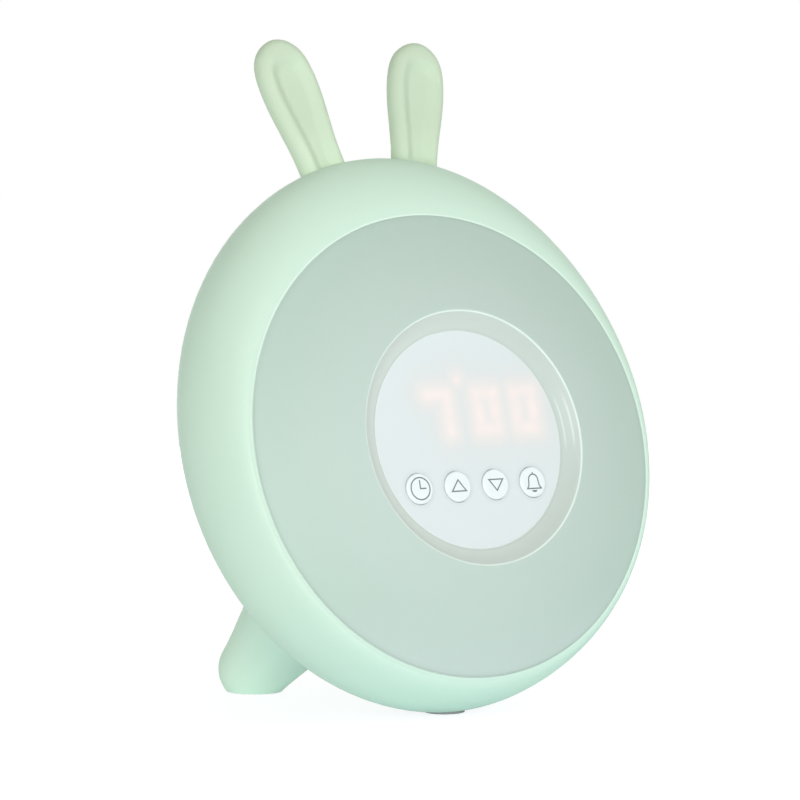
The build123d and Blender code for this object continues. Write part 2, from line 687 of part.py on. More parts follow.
with BuildPart() as button_switches:
    with BuildSketch(face.offset(board_front)):
        with Locations(*button_places):
            Rectangle(TACT_SIZE, TACT_SIZE)
    extrude(amount=TACT_HEIGHT)
    with BuildSketch(face.offset(tact_top)):
        with Locations(*button_places):
            Circle(PLUNGER_RADIUS + PLUNGER_GAP)
    extrude(amount=-PLUNGER_WELL, mode=Mode.SUBTRACT)
write(button_switches, "button_switches")

digit_places = [
    (side * (DIGIT_GAP / 2 + step * DIGIT_PITCH), DISPLAY_ROW)
    for side in (-1, 1)
    for step in (0, 1)
]
digit_opening = (DIGIT_HEIGHT - 3 * DIGIT_LINE) / 2
with BuildPart() as digit_display:
    with BuildSketch(face.offset(board_front)):
        with Locations((0, DISPLAY_ROW)):
            Rectangle(DISPLAY_WIDTH, DISPLAY_HEIGHT)
    extrude(amount=DISPLAY_THICKNESS)
    with BuildSketch(face.offset(display_front)):
        with Locations(*digit_places):
            Rectangle(DIGIT_WIDTH, DIGIT_HEIGHT)
            with GridLocations(DIGIT_WIDTH, digit_opening + DIGIT_LINE, 1, 2):
                Rectangle(DIGIT_WIDTH - 2 * DIGIT_LINE, digit_opening, mode=Mode.SUBTRACT)
    extrude(amount=-DIGIT_RECESS, mode=Mode.SUBTRACT)
write(digit_display, "digit_display")

with BuildPart() as display_board:
    with BuildSketch(face.offset(board_front)):
        Circle(baffle_inner - FIT)
        with PolarLocations(display_screw_circle, RING_SCREWS, start_angle=POST_ANGLE):
            Circle(M2_SHAFT + HOLE_CLEARANCE, mode=Mode.SUBTRACT)
    extrude(amount=-BOARD_THICKNESS)
write(display_board, "display_board")

with BuildPart() as light_baffle:
    with BuildSketch(profile_plane):
        with BuildLine():
            Polyline(
                (baffle_inner, window_back),
                (baffle_outer, window_back),
                (baffle_outer, -baffle_flange_depth),
                (post_circle + BAFFLE_FLANGE_LAP, -baffle_flange_depth),
                (post_circle + BAFFLE_FLANGE_LAP, -baffle_flange_depth - BAFFLE_WALL),
                (baffle_inner, -baffle_flange_depth - BAFFLE_WALL),
                (baffle_inner, board_back - BAFFLE_WALL - M2_HEAD),
                (baffle_inner - BOARD_LEDGE, board_back - BAFFLE_WALL),
                (baffle_inner - BOARD_LEDGE, board_back),
                (baffle_inner, board_back),
                close=True,
            )
        make_face()
    revolve(axis=face_axis)
    with BuildSketch(face.offset(board_back)):
        with PolarLocations(display_screw_circle, RING_SCREWS, start_angle=POST_ANGLE):
            Circle(M2_SHAFT + THREAD_CLEARANCE)
    extrude(amount=-BAFFLE_WALL - M2_HEAD, mode=Mode.SUBTRACT)
    with BuildSketch(face.offset(-baffle_flange_depth)):
        with PolarLocations(post_circle, RING_SCREWS, start_angle=POST_ANGLE):
            Circle(M2_SHAFT + HOLE_CLEARANCE)
    extrude(amount=-BAFFLE_WALL, mode=Mode.SUBTRACT)
write(light_baffle, "light_baffle")

# ---- Main board and its parts, behind which the rear panel opens ----
board_rear = panel_inner - STANDOFF
main_board_front = board_rear - BOARD_THICKNESS

with BuildPart() as main_board:
    with BuildSketch(face.offset(-board_rear)):
        with Locations((0, MAIN_BOARD_CENTRE)):
            RectangleRounded(MAIN_BOARD_WIDTH, MAIN_BOARD_HEIGHT, MAIN_BOARD_CORNER)
            with GridLocations(2 * board_screw_x, 2 * board_screw_y, 2, 2):
                Circle(M2_SHAFT + HOLE_CLEARANCE, mode=Mode.SUBTRACT)
    extrude(amount=BOARD_THICKNESS)
write(main_board, "main_board")

usb_length = panel_depth - USB_SINK - board_rear
with BuildPart() as usb_socket:
    with BuildSketch(face.offset(-board_rear)):
        with Locations((0, USB_HEIGHT)):
            SlotOverall(USB_WIDTH, USB_THICKNESS)
    extrude(amount=-usb_length)
    with BuildSketch(face.offset(-board_rear - usb_length)):
        with Locations((0, USB_HEIGHT)):
            SlotOverall(USB_WIDTH - 2 * USB_SHEET, USB_THICKNESS - 2 * USB_SHEET)
            Rectangle(USB_WIDTH - USB_THICKNESS + USB_TONGUE, USB_TONGUE, mode=Mode.SUBTRACT)
    extrude(amount=USB_MOUTH_DEPTH, mode=Mode.SUBTRACT)
write(usb_socket, "usb_socket")

switch_place = (-CONTROL_X, CONTROL_HEIGHT)
with BuildPart() as slide_switch:
    with BuildSketch(face.offset(-board_rear)):
        with Locations(switch_place):
            Rectangle(SWITCH_WIDTH, SWITCH_DEPTH)
    extrude(amount=-SWITCH_TALL)
    with BuildSketch(face.offset(-board_rear - SWITCH_TALL)):
        with Locations(switch_place):
            Rectangle(KNOB_STEM + KNOB_TRAVEL + 2 * RUNNING_GAP, KNOB_STEM + 2 * RUNNING_GAP)
    extrude(amount=SWITCH_TALL / 2, mode=Mode.SUBTRACT)
write(slide_switch, "slide_switch")

# The knob rests at one end of its travel.
knob_place = (-CONTROL_X - KNOB_TRAVEL / 2, CONTROL_HEIGHT)
with BuildPart() as power_switch:
    with BuildSketch(face.offset(-panel_inner)):
        with Locations(knob_place):
            Rectangle(KNOB_WIDTH, KNOB_DEPTH)
    extrude(amount=-WALL - KNOB_PROUD)
    fillet(power_switch.edges().filter_by(Axis(face.origin, face.z_dir)), KNOB_CORNER)
    chamfer(power_switch.faces().sort_by(face_axis)[0].edges(), KNOB_EDGE)
    with BuildSketch(face.offset(-panel_inner)):
        with Locations(knob_place):
            Rectangle(KNOB_STEM, KNOB_STEM)
    extrude(amount=STANDOFF - SWITCH_TALL / 2 - 2 * RUNNING_GAP)
write(power_switch, "power_switch")

lamp_place = (CONTROL_X, CONTROL_HEIGHT)
lamp_tact_top = board_rear + TACT_HEIGHT
lamp_plunger_top = lamp_tact_top + PLUNGER_PROUD
lamp_flange_back = panel_inner - RUNNING_GAP
with BuildPart() as lamp_switch:
    with BuildSketch(face.offset(-board_rear)):
        with Locations(lamp_place):
            Rectangle(TACT_SIZE, TACT_SIZE)
    extrude(amount=-TACT_HEIGHT)
    with BuildSketch(face.offset(-lamp_tact_top)):
        with Locations(lamp_place):
            Circle(PLUNGER_RADIUS + PLUNGER_GAP)
    extrude(amount=PLUNGER_WELL, mode=Mode.SUBTRACT)
write(lamp_switch, "lamp_switch")

with BuildPart() as lamp_plunger:
    with BuildSketch(face.offset(-lamp_plunger_top)):
        with Locations(lamp_place):
            Circle(PLUNGER_RADIUS)
    extrude(amount=PLUNGER_PROUD + PLUNGER_SUNK)
write(lamp_plunger, "lamp_plunger")

with BuildPart() as lamp_button:
    with BuildSketch(face.offset(-lamp_flange_back)):
        with Locations(lamp_place):
            Circle(LAMP_BUTTON_RADIUS)
    extrude(amount=-RUNNING_GAP - WALL - LAMP_BUTTON_PROUD)
    chamfer(lamp_button.faces().sort_by(face_axis)[0].edges(), LAMP_BUTTON_PROUD / 2)
    with BuildSketch(face.offset(-lamp_flange_back)):
        with Locations(lamp_place):
            Circle(LAMP_BUTTON_RADIUS + LAMP_BUTTON_LAP)
    extrude(amount=BUTTON_FLANGE_THICKNESS)
    with BuildSketch(face.offset(-lamp_plunger_top)):
        with Locations(lamp_place):
            Circle(BUTTON_STEM_RADIUS)
    extrude(amount=lamp_plunger_top - lamp_flange_back)
write(lamp_button, "lamp_button")

with BuildPart() as board_parts:
    with BuildSketch(face.offset(-board_rear)):
        with Locations(CHIP_PLACE):
            Rectangle(CHIP_SIZE, CHIP_SIZE)
        with Locations((-COIL_X, CHIP_ROW)):
            Rectangle(CHARGER_SIZE, CHARGER_SIZE)
        with Locations((COIL_X, CHIP_ROW)):
            Rectangle(COIL_SIZE, COIL_SIZE)
    extrude(amount=-CHIP_HEIGHT)
write(board_parts, "board_parts")

# ---- Speaker, against the inside of the panel behind its grille ----
rim_inner = SPEAKER_RADIUS - SPEAKER_RIM
gasket_front = panel_inner - GASKET_THICKNESS
rim_front = gasket_front - SPEAKER_RIM_THICKNESS
basket_front = rim_front - BASKET_LENGTH
speaker_origin = face.from_local_coords(Vector(0, SPEAKER_HEIGHT, 0))
speaker_plane = Plane(origin=speaker_origin, x_dir=face.x_dir, z_dir=-face.y_dir)
speaker_axis = Axis(speaker_origin, face.z_dir)

with BuildPart() as speaker_gasket:
    with BuildSketch(face.offset(-gasket_front)):
        with Locations((0, SPEAKER_HEIGHT)):
            Circle(SPEAKER_RADIUS)
            Circle(rim_inner, mode=Mode.SUBTRACT)
    extrude(amount=-GASKET_THICKNESS)
write(speaker_gasket, "speaker_gasket")

basket_floor = basket_front + SPEAKER_SHEET
with BuildPart() as speaker_frame:
    with BuildSketch(speaker_plane):
        with BuildLine():
            Polyline(
                (SPEAKER_RADIUS, -gasket_front),
                (SPEAKER_RADIUS, -rim_front),
                (rim_inner, -rim_front),
                (MAGNET_RADIUS, -basket_front),
                (VOICE_COIL_RADIUS, -basket_front),
                (VOICE_COIL_RADIUS, -basket_floor),
                (MAGNET_RADIUS - SPEAKER_SHEET / 2, -basket_floor),
                (rim_inner - SPEAKER_SHEET, -rim_front - SPEAKER_SHEET / 2),
                (rim_inner, -gasket_front),
                close=True,
            )
        make_face()
    revolve(axis=speaker_axis)
write(speaker_frame, "speaker_frame")

cone_edge = rim_inner - SPEAKER_SHEET - RUNNING_GAP
with BuildPart() as speaker_cone:
    with BuildSketch(speaker_plane):
        with BuildLine():
            Polyline(
                (0, -basket_floor),
                (VOICE_COIL_RADIUS + SPEAKER_SHEET, -basket_floor),
                (cone_edge, -rim_front - SPEAKER_SHEET / 2),
                (cone_edge, -rim_front - SPEAKER_SHEET / 2 - CONE_WALL),
                (VOICE_COIL_RADIUS + SPEAKER_SHEET, -basket_floor - CONE_WALL),
                (0, -basket_floor - CONE_WALL - CONE_DOME),
                close=True,
            )
        make_face()
    revolve(axis=speaker_axis)
write(speaker_cone, "speaker_cone")

with BuildPart() as speaker_magnet:
    with BuildSketch(face.offset(-basket_front)):
        with Locations((0, SPEAKER_HEIGHT)):
            Circle(MAGNET_RADIUS)
    extrude(amount=MAGNET_LENGTH)
write(speaker_magnet, "speaker_magnet")

# ---- Battery, taped to the front of the main board ----
with BuildPart() as battery_tape:
    with BuildSketch(face.offset(-main_board_front)):
        with Locations((0, CELL_CENTRE)):
            Rectangle(CELL_WIDTH - 2 * TAPE_INSET, CELL_HEIGHT - 2 * TAPE_INSET)
    extrude(amount=TAPE_THICKNESS)
write(battery_tape, "battery_tape")

with BuildPart() as battery_cell:
    with BuildSketch(face.offset(TAPE_THICKNESS - main_board_front)):
        with Locations((0, CELL_CENTRE)):
            RectangleRounded(CELL_WIDTH, CELL_HEIGHT, CELL_CORNER)
    extrude(amount=CELL_THICKNESS)
write(battery_cell, "battery_cell")

# ---- Wiring ----
board_plug_depth = main_board_front - PLUG_HEIGHT
display_plug_depth = PLUG_HEIGHT - board_back
lead_depth = board_plug_depth - LEAD_RISE

with BuildPart() as wire_plugs:
    with BuildSketch(face.offset(-main_board_front)):
        with Locations((0, BOARD_PLUG_ROW)):
            Rectangle(RIBBON_WIDTH + 2 * PLUG_CHEEK, PLUG_WIDTH)
        with Locations((SPEAKER_PLUG_X, BOARD_PLUG_ROW), (battery_plug_x, CELL_CENTRE)):
            Rectangle(PLUG_WIDTH, PLUG_WIDTH)
    extrude(amount=PLUG_HEIGHT)
    with BuildSketch(face.offset(board_back)):
        with Locations((0, DISPLAY_PLUG_ROW)):
            Rectangle(RIBBON_WIDTH + 2 * PLUG_CHEEK, PLUG_WIDTH)
    extrude(amount=-PLUG_HEIGHT)
write(wire_plugs, "wire_plugs")

# Seen from the side: X is the depth, Y the height on the face.
side_plane = Plane(origin=face.origin, x_dir=-face.z_dir, z_dir=face.x_dir)
ribbon_middle = (board_plug_depth + display_plug_depth) / 2
with BuildPart() as ribbon_cable:
    with BuildSketch(side_plane):
        with BuildLine():
            FilletPolyline(
                (display_plug_depth, DISPLAY_PLUG_ROW),
                (ribbon_middle - RIBBON_JOG, DISPLAY_PLUG_ROW),
                (ribbon_middle + RIBBON_JOG, BOARD_PLUG_ROW),
                (board_plug_depth, BOARD_PLUG_ROW),
                radius=RIBBON_BEND,
            )
        trace(line_width=RIBBON_THICKNESS)
    extrude(amount=RIBBON_WIDTH / 2, both=True)
write(ribbon_cable, "ribbon_cable")

terminal_radius = SPEAKER_RADIUS - SPEAKER_RIM / 2
terminal_x = terminal_radius * cos(radians(TERMINAL_ANGLE))
terminal_height = SPEAKER_HEIGHT + terminal_radius * sin(radians(TERMINAL_ANGLE))
with BuildPart() as speaker_lead:
    with BuildLine(face) as path:
        FilletPolyline(
            (terminal_x, terminal_height, -rim_front),
            (terminal_x, terminal_height, -lead_depth),
            (SPEAKER_PLUG_X, BOARD_PLUG_ROW, -lead_depth),
            (SPEAKER_PLUG_X, BOARD_PLUG_ROW, -board_plug_depth),
            radius=LEAD_BEND,
        )
    with BuildSketch(Plane(origin=path.line @ 0, z_dir=path.line % 0)):
        Circle(LEAD_RADIUS)
    sweep(path=path.line)
write(speaker_lead, "speaker_lead")

with BuildPart() as battery_lead:
    with BuildLine(face) as path:
        FilletPolyline(
            (CELL_WIDTH / 2, CELL_CENTRE, -lead_depth),
            (battery_plug_x, CELL_CENTRE, -lead_depth),
            (battery_plug_x, CELL_CENTRE, -board_plug_depth),
            radius=LEAD_BEND,
        )
    with BuildSketch(Plane(origin=path.line @ 0, z_dir=path.line % 0)):
        Circle(LEAD_RADIUS)
    sweep(path=path.line)
write(battery_lead, "battery_lead")


# ---- Ears ----
def ear_outline(inset):
    """Outline of the ear moved inward by inset, from below the housing's surface up to the tip."""
    half_base = EAR_BASE_WIDTH / 2 - inset
    half_width = EAR_WIDTH / 2 - inset
    tip = EAR_LENGTH - EAR_WIDEST - inset
    side = Spline(
        (half_base, -EAR_BOSS_DEPTH),
        (half_base, EAR_NECK),
        (half_width, EAR_WIDEST),
        (half_width * sqrt(0.5), EAR_WIDEST + tip * sqrt(0.5)),
        (0, EAR_LENGTH - inset),
        tangents=((0, 1), (-1, 0)),
    )
    mirror(side, about=Plane.YZ)
    Line((half_base, -EAR_BOSS_DEPTH), (-half_base, -EAR_BOSS_DEPTH))


for side, name in ((-1, "left_ear"), (1, "right_ear")):
    ear_plane, root_plane = ear_planes(side)
    thickness_axis = Axis(ear_plane.origin, ear_plane.z_dir)
    length_axis = Axis(ear_plane.origin, ear_plane.y_dir)
    with BuildPart() as scoop:
        for height, inset in (
            (EAR_THICKNESS / 2, SCOOP_RIM),
            (EAR_THICKNESS / 2 - SCOOP_DEPTH, SCOOP_RIM + SCOOP_SLOPE),
        ):
            with BuildSketch(ear_plane.offset(height)):
                with BuildLine():
                    ear_outline(inset)
                make_face()
        loft()
    with BuildPart() as ear:
        with BuildSketch(ear_plane.offset(-EAR_THICKNESS / 2)):
            with BuildLine():
                ear_outline(0)
            make_face()
        extrude(amount=EAR_THICKNESS)
        fillet(ear.faces().filter_by(thickness_axis).edges(), EAR_ROUNDING)
        add(scoop.part, mode=Mode.SUBTRACT)
        scoop_floor = ear.faces().filter_by(thickness_axis).sort_by(thickness_axis)[-1]
        fillet(scoop_floor.edges().sort_by(length_axis)[1:], SCOOP_FLOOR_ROUNDING)
        fillet(ear.edges().sort_by(thickness_axis)[-1], SCOOP_RIM_ROUNDING)
        add(outer_form, mode=Mode.SUBTRACT)
        with BuildSketch(root_plane.offset(-EAR_PLUG_LENGTH)):
            SlotOverall(EAR_PLUG_WIDTH, plug_thickness)
        extrude(amount=EAR_PLUG_LENGTH + EAR_NECK)
    write(ear, name)

with BuildPart() as ear_clips:
    for side in (-1, 1):
        with BuildSketch(ear_planes(side)[1].offset(-EAR_BOSS_DEPTH)):
            Circle(CLIP_RADIUS)
            SlotOverall(EAR_PLUG_WIDTH + 2 * FIT, plug_thickness + 2 * FIT, mode=Mode.SUBTRACT)
        extrude(amount=-CLIP_THICKNESS)
write(ear_clips, "ear_clips")

# ---- Feet ----
ball_slope = (cos(radians(FOOT_TAPER)), sin(radians(FOOT_TAPER)))
ball_end = (-FOOT_BALL * ball_slope[1], FOOT_BALL * ball_slope[0])
for side, name in ((-1, "left_foot"), (1, "right_foot")):
    plane, distance = foot_plane(side)
    foot_axis = Axis(plane.origin, plane.z_dir)
    with BuildPart() as foot:
        with BuildSketch(Plane(origin=plane.origin, x_dir=plane.z_dir, z_dir=plane.x_dir)):
            with BuildLine():
                quarter = FOOT_BALL * sqrt(0.5)
                ThreePointArc((-FOOT_BALL, 0), (-quarter, quarter), ball_end)
                Spline(ball_end, (distance, FOOT_ROOT_RADIUS), tangents=(ball_slope, (1, FOOT_FLARE)))
                Polyline(
                    (distance, FOOT_ROOT_RADIUS),
                    (distance + FOOT_SINK, FOOT_ROOT_RADIUS),
                    (distance + FOOT_SINK, 0),
                    (-FOOT_BALL, 0),
                )
            make_face()
        revolve(axis=foot_axis)
        split(bisect_by=Plane.XY.offset(PAD_PROUD), keep=Keep.TOP)
        add(outer_form, mode=Mode.SUBTRACT)
        with BuildSketch(Plane.XY.offset(PAD_PROUD)):
            with Locations((side * FOOT_SPREAD / 2, FOOT_REACH)):
                Circle(SOLE_PAD_RADIUS + FIT)
        extrude(amount=PAD_THICKNESS - PAD_PROUD, mode=Mode.SUBTRACT)
        with BuildSketch(plane.offset(distance + FOOT_SEAT)):
            Circle(M3_SHAFT + THREAD_CLEARANCE)
        extrude(amount=-FOOT_SEAT - FOOT_SCREW_BITE - PILOT_SPARE, mode=Mode.SUBTRACT)
    write(foot, name)

with BuildPart() as foot_pads:
    with BuildSketch(Plane.XY):
        with Locations(*[(side * FOOT_SPREAD / 2, FOOT_REACH) for side in (-1, 1)]):
            Circle(SOLE_PAD_RADIUS)
    extrude(amount=PAD_THICKNESS)
write(foot_pads, "foot_pads")


# ---- Screws ----
def make_screw(shaft, length, head, head_height):
    """A screw along Z: its head stands on the origin's plane and its shaft runs down."""
    with BuildPart() as screw:
        with BuildSketch():
            Circle(head)
        extrude(amount=head_height)
        with BuildSketch():
            Circle(shaft)
        extrude(amount=-length)
    return screw.part


def seat_plane(place, depth, facing):
    """A plane at a place on the face's grid and at a depth, looking forward (1) or back (-1)."""
    return Plane(origin=face.from_local_coords(Vector(*place, -depth)), z_dir=face.z_dir * facing)


def ring_places(radius, start_angle):
    """Places of the screws round the face's axis."""
    angles = [radians(start_angle + 360 * step / RING_SCREWS) for step in range(RING_SCREWS)]
    return [(radius * cos(angle), radius * sin(angle)) for angle in angles]


with BuildPart() as cover_screws:
    with Locations(*[seat_plane(place, SEAM_DEPTH + COVER_SEAT, -1) for place in cover_screw_places]):
        add(make_screw(M3_SHAFT, COVER_SEAT + SCREW_BITE, M3_HEAD, M3_HEAD_HEIGHT))
write(cover_screws, "cover_screws")

with BuildPart() as foot_screws:
    with Locations(*[plane.offset(distance + FOOT_SEAT) for plane, distance in map(foot_plane, (-1, 1))]):
        add(make_screw(M3_SHAFT, FOOT_SEAT + FOOT_SCREW_BITE, M3_HEAD, M3_HEAD_HEIGHT))
write(foot_screws, "foot_screws")

main_board_corners = [
    (side * board_screw_x, MAIN_BOARD_CENTRE + level * board_screw_y)
    for side in (-1, 1)
    for level in (-1, 1)
]
baffle_back = baffle_flange_depth + BAFFLE_WALL
reflector_back = ledge_back + REFLECTOR_WALL
display_ring = ring_places(display_screw_circle, POST_ANGLE)
post_ring = ring_places(post_circle, POST_ANGLE)
ledge_ring = ring_places(reflector_screw_circle, LEDGE_SCREW_ANGLE)
board_screw_seats = (
    [seat_plane(place, main_board_front, 1) for place in main_board_corners]
    + [seat_plane(place, -board_front, 1) for place in display_ring]
    + [seat_plane(place, baffle_back, -1) for place in post_ring]
    + [seat_plane(place, reflector_back, -1) for place in ledge_ring]
)
with BuildPart() as board_screws:
    with Locations(*board_screw_seats):
        add(make_screw(M2_SHAFT, M2_LENGTH, M2_HEAD, M2_HEAD_HEIGHT))
write(board_screws, "board_screws")
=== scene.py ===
import json
import math

import bmesh
import bpy
import numpy as np
from mathutils import Matrix, Vector


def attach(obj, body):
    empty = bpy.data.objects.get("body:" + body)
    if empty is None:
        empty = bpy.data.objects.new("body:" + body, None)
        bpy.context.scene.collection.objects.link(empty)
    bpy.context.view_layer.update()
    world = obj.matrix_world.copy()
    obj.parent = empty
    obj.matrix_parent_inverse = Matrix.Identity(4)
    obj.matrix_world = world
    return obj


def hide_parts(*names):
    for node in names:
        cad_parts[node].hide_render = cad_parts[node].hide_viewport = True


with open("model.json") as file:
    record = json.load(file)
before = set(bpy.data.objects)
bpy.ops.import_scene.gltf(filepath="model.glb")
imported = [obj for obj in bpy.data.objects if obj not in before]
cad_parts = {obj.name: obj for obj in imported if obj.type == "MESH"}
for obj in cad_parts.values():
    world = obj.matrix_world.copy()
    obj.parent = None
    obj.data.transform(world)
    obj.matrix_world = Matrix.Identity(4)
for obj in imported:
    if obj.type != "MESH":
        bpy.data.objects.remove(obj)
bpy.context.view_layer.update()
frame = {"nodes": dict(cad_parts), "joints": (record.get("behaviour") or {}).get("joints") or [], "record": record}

# The looks of a leaning bedside clock with a night light. Blender works in metres, and MM turns
# millimetres into them.
MM = 0.001

# ---- Camera, measured from the centre of the window's front ----
CAMERA_AZIMUTH = -33.937         # degrees, round to the left of the front
CAMERA_ELEVATION = 3.692
CAMERA_DISTANCE = 978.4          # mm
CAMERA_LENS = 152.36             # mm
CAMERA_SENSOR = 36.0             # mm
CAMERA_NEAR = 50.0               # mm
CAMERA_AIM = (-13.02, 16.22, 10.89)   # mm, to the point in the picture's middle

# ---- Studio: levels and tints of the white round the object ----
WHITE = (1.0, 1.0, 1.0)
BRIGHT_LEVEL = 1.00
BRIGHT_TINT = (0.97, 0.98, 1.02)
DIM_LEVEL = 0.58
DIM_TINT = (0.96, 1.01, 0.82)
DIM_SIDE = (-0.28, 0.42, 0.86)   # the way to the less bright side
DARK_SIDE = (-0.50, 0.76, 0.42)  # the way to the middle of a darker patch
PATCH_SPAN = (0.35, 0.90)        # cosine to DARK_SIDE at the patch's edge and where it is darkest
PATCH_DEPTH = 0.34
FLOOR_SIZE = 60.0                # m
FLOOR_WHITE = (0.880, 0.960, 0.980)
FLOOR_SEEN = (1.600, 1.540, 1.700)    # the floor's colour for the camera and reflections
FLOOR_CLEARING = 0.80            # share of plain white in what they see of the floor
FLOOR_ROUGHNESS = 0.9
FLOOR_BOUNCE = (0.930, 0.940, 1.000)
FLOOR_GLOW = 0.13
LIGHTS = {                       # place and aim in m, the disc's size in m, power in W, tint
    "key": ((-0.45, -1.45, 0.35), (0, 0, 0.08), 1.1, 3.2, WHITE),
    "low": ((-0.75, -0.80, 0.07), (0, 0.02, 0.03), 0.45, 5.2, (1.0, 0.95, 1.0)),
    "rear": ((0.40, 0.90, 0.10), (0, 0.06, 0.02), 0.5, 2.5, WHITE),
}

# ---- Colours, linear ----
MINT = (0.640, 0.815, 0.685)
# painted cool light: the shell's mint toward its bottom, as if lit from the floor below
MINT_PAINTED_COOL_LIGHT = (0.610, 0.810, 0.700)
MINT_LIP_HIGHLIGHT = (0.800, 0.940, 0.850)
EAR_MINT = (0.602, 0.724, 0.552)
DIFFUSER_OUTER = (0.485, 0.615, 0.540)
DIFFUSER_INNER = (0.530, 0.640, 0.580)
DIFFUSER_PAINTED_LOW_LIGHT = (0.530, 0.640, 0.590)
COVE_PAINTED_LIGHT_LEFT = (0.665, 0.725, 0.675)
COVE_PAINTED_SHADE_RIGHT = (0.550, 0.618, 0.575)
RIM_HIGHLIGHT = (0.860, 0.950, 0.900)
EDGE_SHADE = (0.200, 0.270, 0.230)
WINDOW_WHITE = (0.730, 0.785, 0.785)
WINDOW_PAINTED_GLOW_TINT = (0.745, 0.765, 0.750)
BUTTON_WHITE = (0.840, 0.895, 0.905)
ICON_INK_AND_SHADE_GREY = (0.180, 0.220, 0.210)
GLOW_PINK = (1.000, 0.330, 0.250)
# painted light: a faint glow in the gaps at the diffuser's and the window's edges
PAINTED_GAP_LIGHT = (0.160, 0.190, 0.180)
CONTROL_GREY = (0.450, 0.520, 0.480)
PAD_GREY = (0.300, 0.320, 0.310)
INNER_WHITE = (0.800, 0.810, 0.800)
LED_YELLOW = (0.820, 0.740, 0.360)
DISPLAY_BLACK = (0.030, 0.030, 0.034)
COMPONENT_BLACK = (0.020, 0.020, 0.022)
PLUNGER_BLACK = (0.030, 0.030, 0.030)
WIRE_WHITE = (0.700, 0.700, 0.680)
CONNECTOR_METAL = (0.620, 0.620, 0.610)
SCREW_METAL = (0.500, 0.500, 0.520)
FOIL_METAL = (0.660, 0.670, 0.690)
BOARD_DARK = (0.012, 0.120, 0.045)
BOARD_LIGHT = (0.020, 0.160, 0.060)
BOARD_TRACK = (0.060, 0.260, 0.100)

# ---- Finishes: noise scales per metre, reliefs in mm ----
NOISE_SPAN = (0.3, 0.7)          # where most of a noise's values lie
CLOUD_SCALE = 35.0               # slow changes of a moulding's colour and gloss
CLOUD_DETAIL = 3.0
GLOSS_CHANGE = 0.04
GRAIN_ROUGHNESS = 0.6
BLASTED_GRAIN = 2200.0
DOME_ROUGHNESS = 0.40
COVE_ROUGHNESS = 0.45
DOME_FINISH = {"roughness": DOME_ROUGHNESS, "grain": BLASTED_GRAIN, "relief": 0.006}
WINDOW_FINISH = {"roughness": 0.38, "grain": BLASTED_GRAIN, "relief": 0.004, "variation": 0.006}
BUTTON_FINISH = {"roughness": 0.38, "relief": 0.005, "variation": 0.006}
SHELL_FINISH = {"roughness": 0.55, "relief": 0.010, "variation": 0.012}
SHELL_SPECULAR = 0.15
SILICONE_FINISH = {"roughness": 0.60, "relief": 0.014, "variation": 0.012}
SILICONE_SPECULAR = 0.12
PAD_FINISH = {"roughness": 0.75, "grain": 900.0, "relief": 0.03}
INK_FINISH = {"roughness": 0.60, "relief": 0.004, "variation": 0.03}
BOARD_ROUGHNESS = 0.35
SCRATCH_SCALE = 900.0
SCRATCH_DETAIL = 3.0
SCRATCH_SHADE = 0.92
SCRATCH_GLOSS = (-0.06, 0.08)
SCRATCH_RELIEF = 0.004
TRACK_SCALE = 420.0
TRACK_SHARE = 0.35
TRACK_RELIEF = 0.02
BOARD_CLOUD_SCALE = 60.0

# ---- Rings round the middle of the face, mm ----
WINDOW_EDGE = 31.9
RECESS_RIM = 37.2
DIFFUSER_EDGE = 68.0
LINE_WIDTH = 0.40                # of the thin painted lines of highlight, shade and reflection along the face's rings
OUTER_WALL = (-0.06, -0.02)      # from an edge to where the steep wall outside it starts
INNER_WALL = (0.12, 0.16)        # from the window's edge to the wall of the hole round it

# ---- Shell: spans in mm, levels as shares of a colour ----
PAINTED_COOL_LIGHT_SIDE = (0.35, 0.0, -0.94)   # the way to where cool light from below is painted into the mint
COOL_SPAN = (0.0, 75.0)
BEHIND_SPAN = (-90.0, -65.0)     # out of the face: the feet and what is behind them, which painted light makes lighter
BEHIND_PAINTED_LIGHT_FACTOR = 1.10
LIP_BEHIND = 6.7                 # from the window's front back to the lip round the diffuser
LIP_FADE = 2.0
LIP_HIGHLIGHT_SHARE = 0.7
CLEAR_SIDE = (0.60, 0.0, 0.80)   # the way to where the lip catches most light
CLEAR_SPAN = (-45.0, 0.0)
CLEAR_LEAST = 0.25
EAR_PALE_SPAN = (0.0, 16.0)      # up from the ears' base
EAR_PALE_FACTOR = 1.09

# ---- Diffuser: spans in mm, levels as shares of a colour ----
DOME_CLOUD_SCALE = 22.0          # noise per metre
DOME_WANDER = 12.0               # mm that clouds move the dome's change of colour
SOFT_SHADE_SPAN = (-2.0, 0.0)
SOFT_SHADE = 0.10
THIN_SHADE_INSET = 0.35
THIN_SHADE = 0.30
RECESS_SPAN = (-0.6, -0.1)
COVE_SHADOW_SPAN = (0.3, 1.1)
COVE_SHADOW = 0.12
COVE_SHADOW_FACTOR = 0.5
REFLECTION_RADII = (33.6, 35.7)           # radii of two faint painted reflections on the recess's wall
REFLECTION_ENDS = (-6.0, 13.0)       # above the middle
REFLECTION_FADE = 6.0
REFLECTION_SIDE_SPAN = (0.0, 10.0)   # to the right of the middle
REFLECTION_SHARE = 0.45
RIM_HIGHLIGHT_SHARE = 0.75
SUBSURFACE_SHARE = 0.25
SUBSURFACE_REACH = 4.0           # mm
SUBSURFACE_RADIUS = (0.8, 1.0, 0.85)

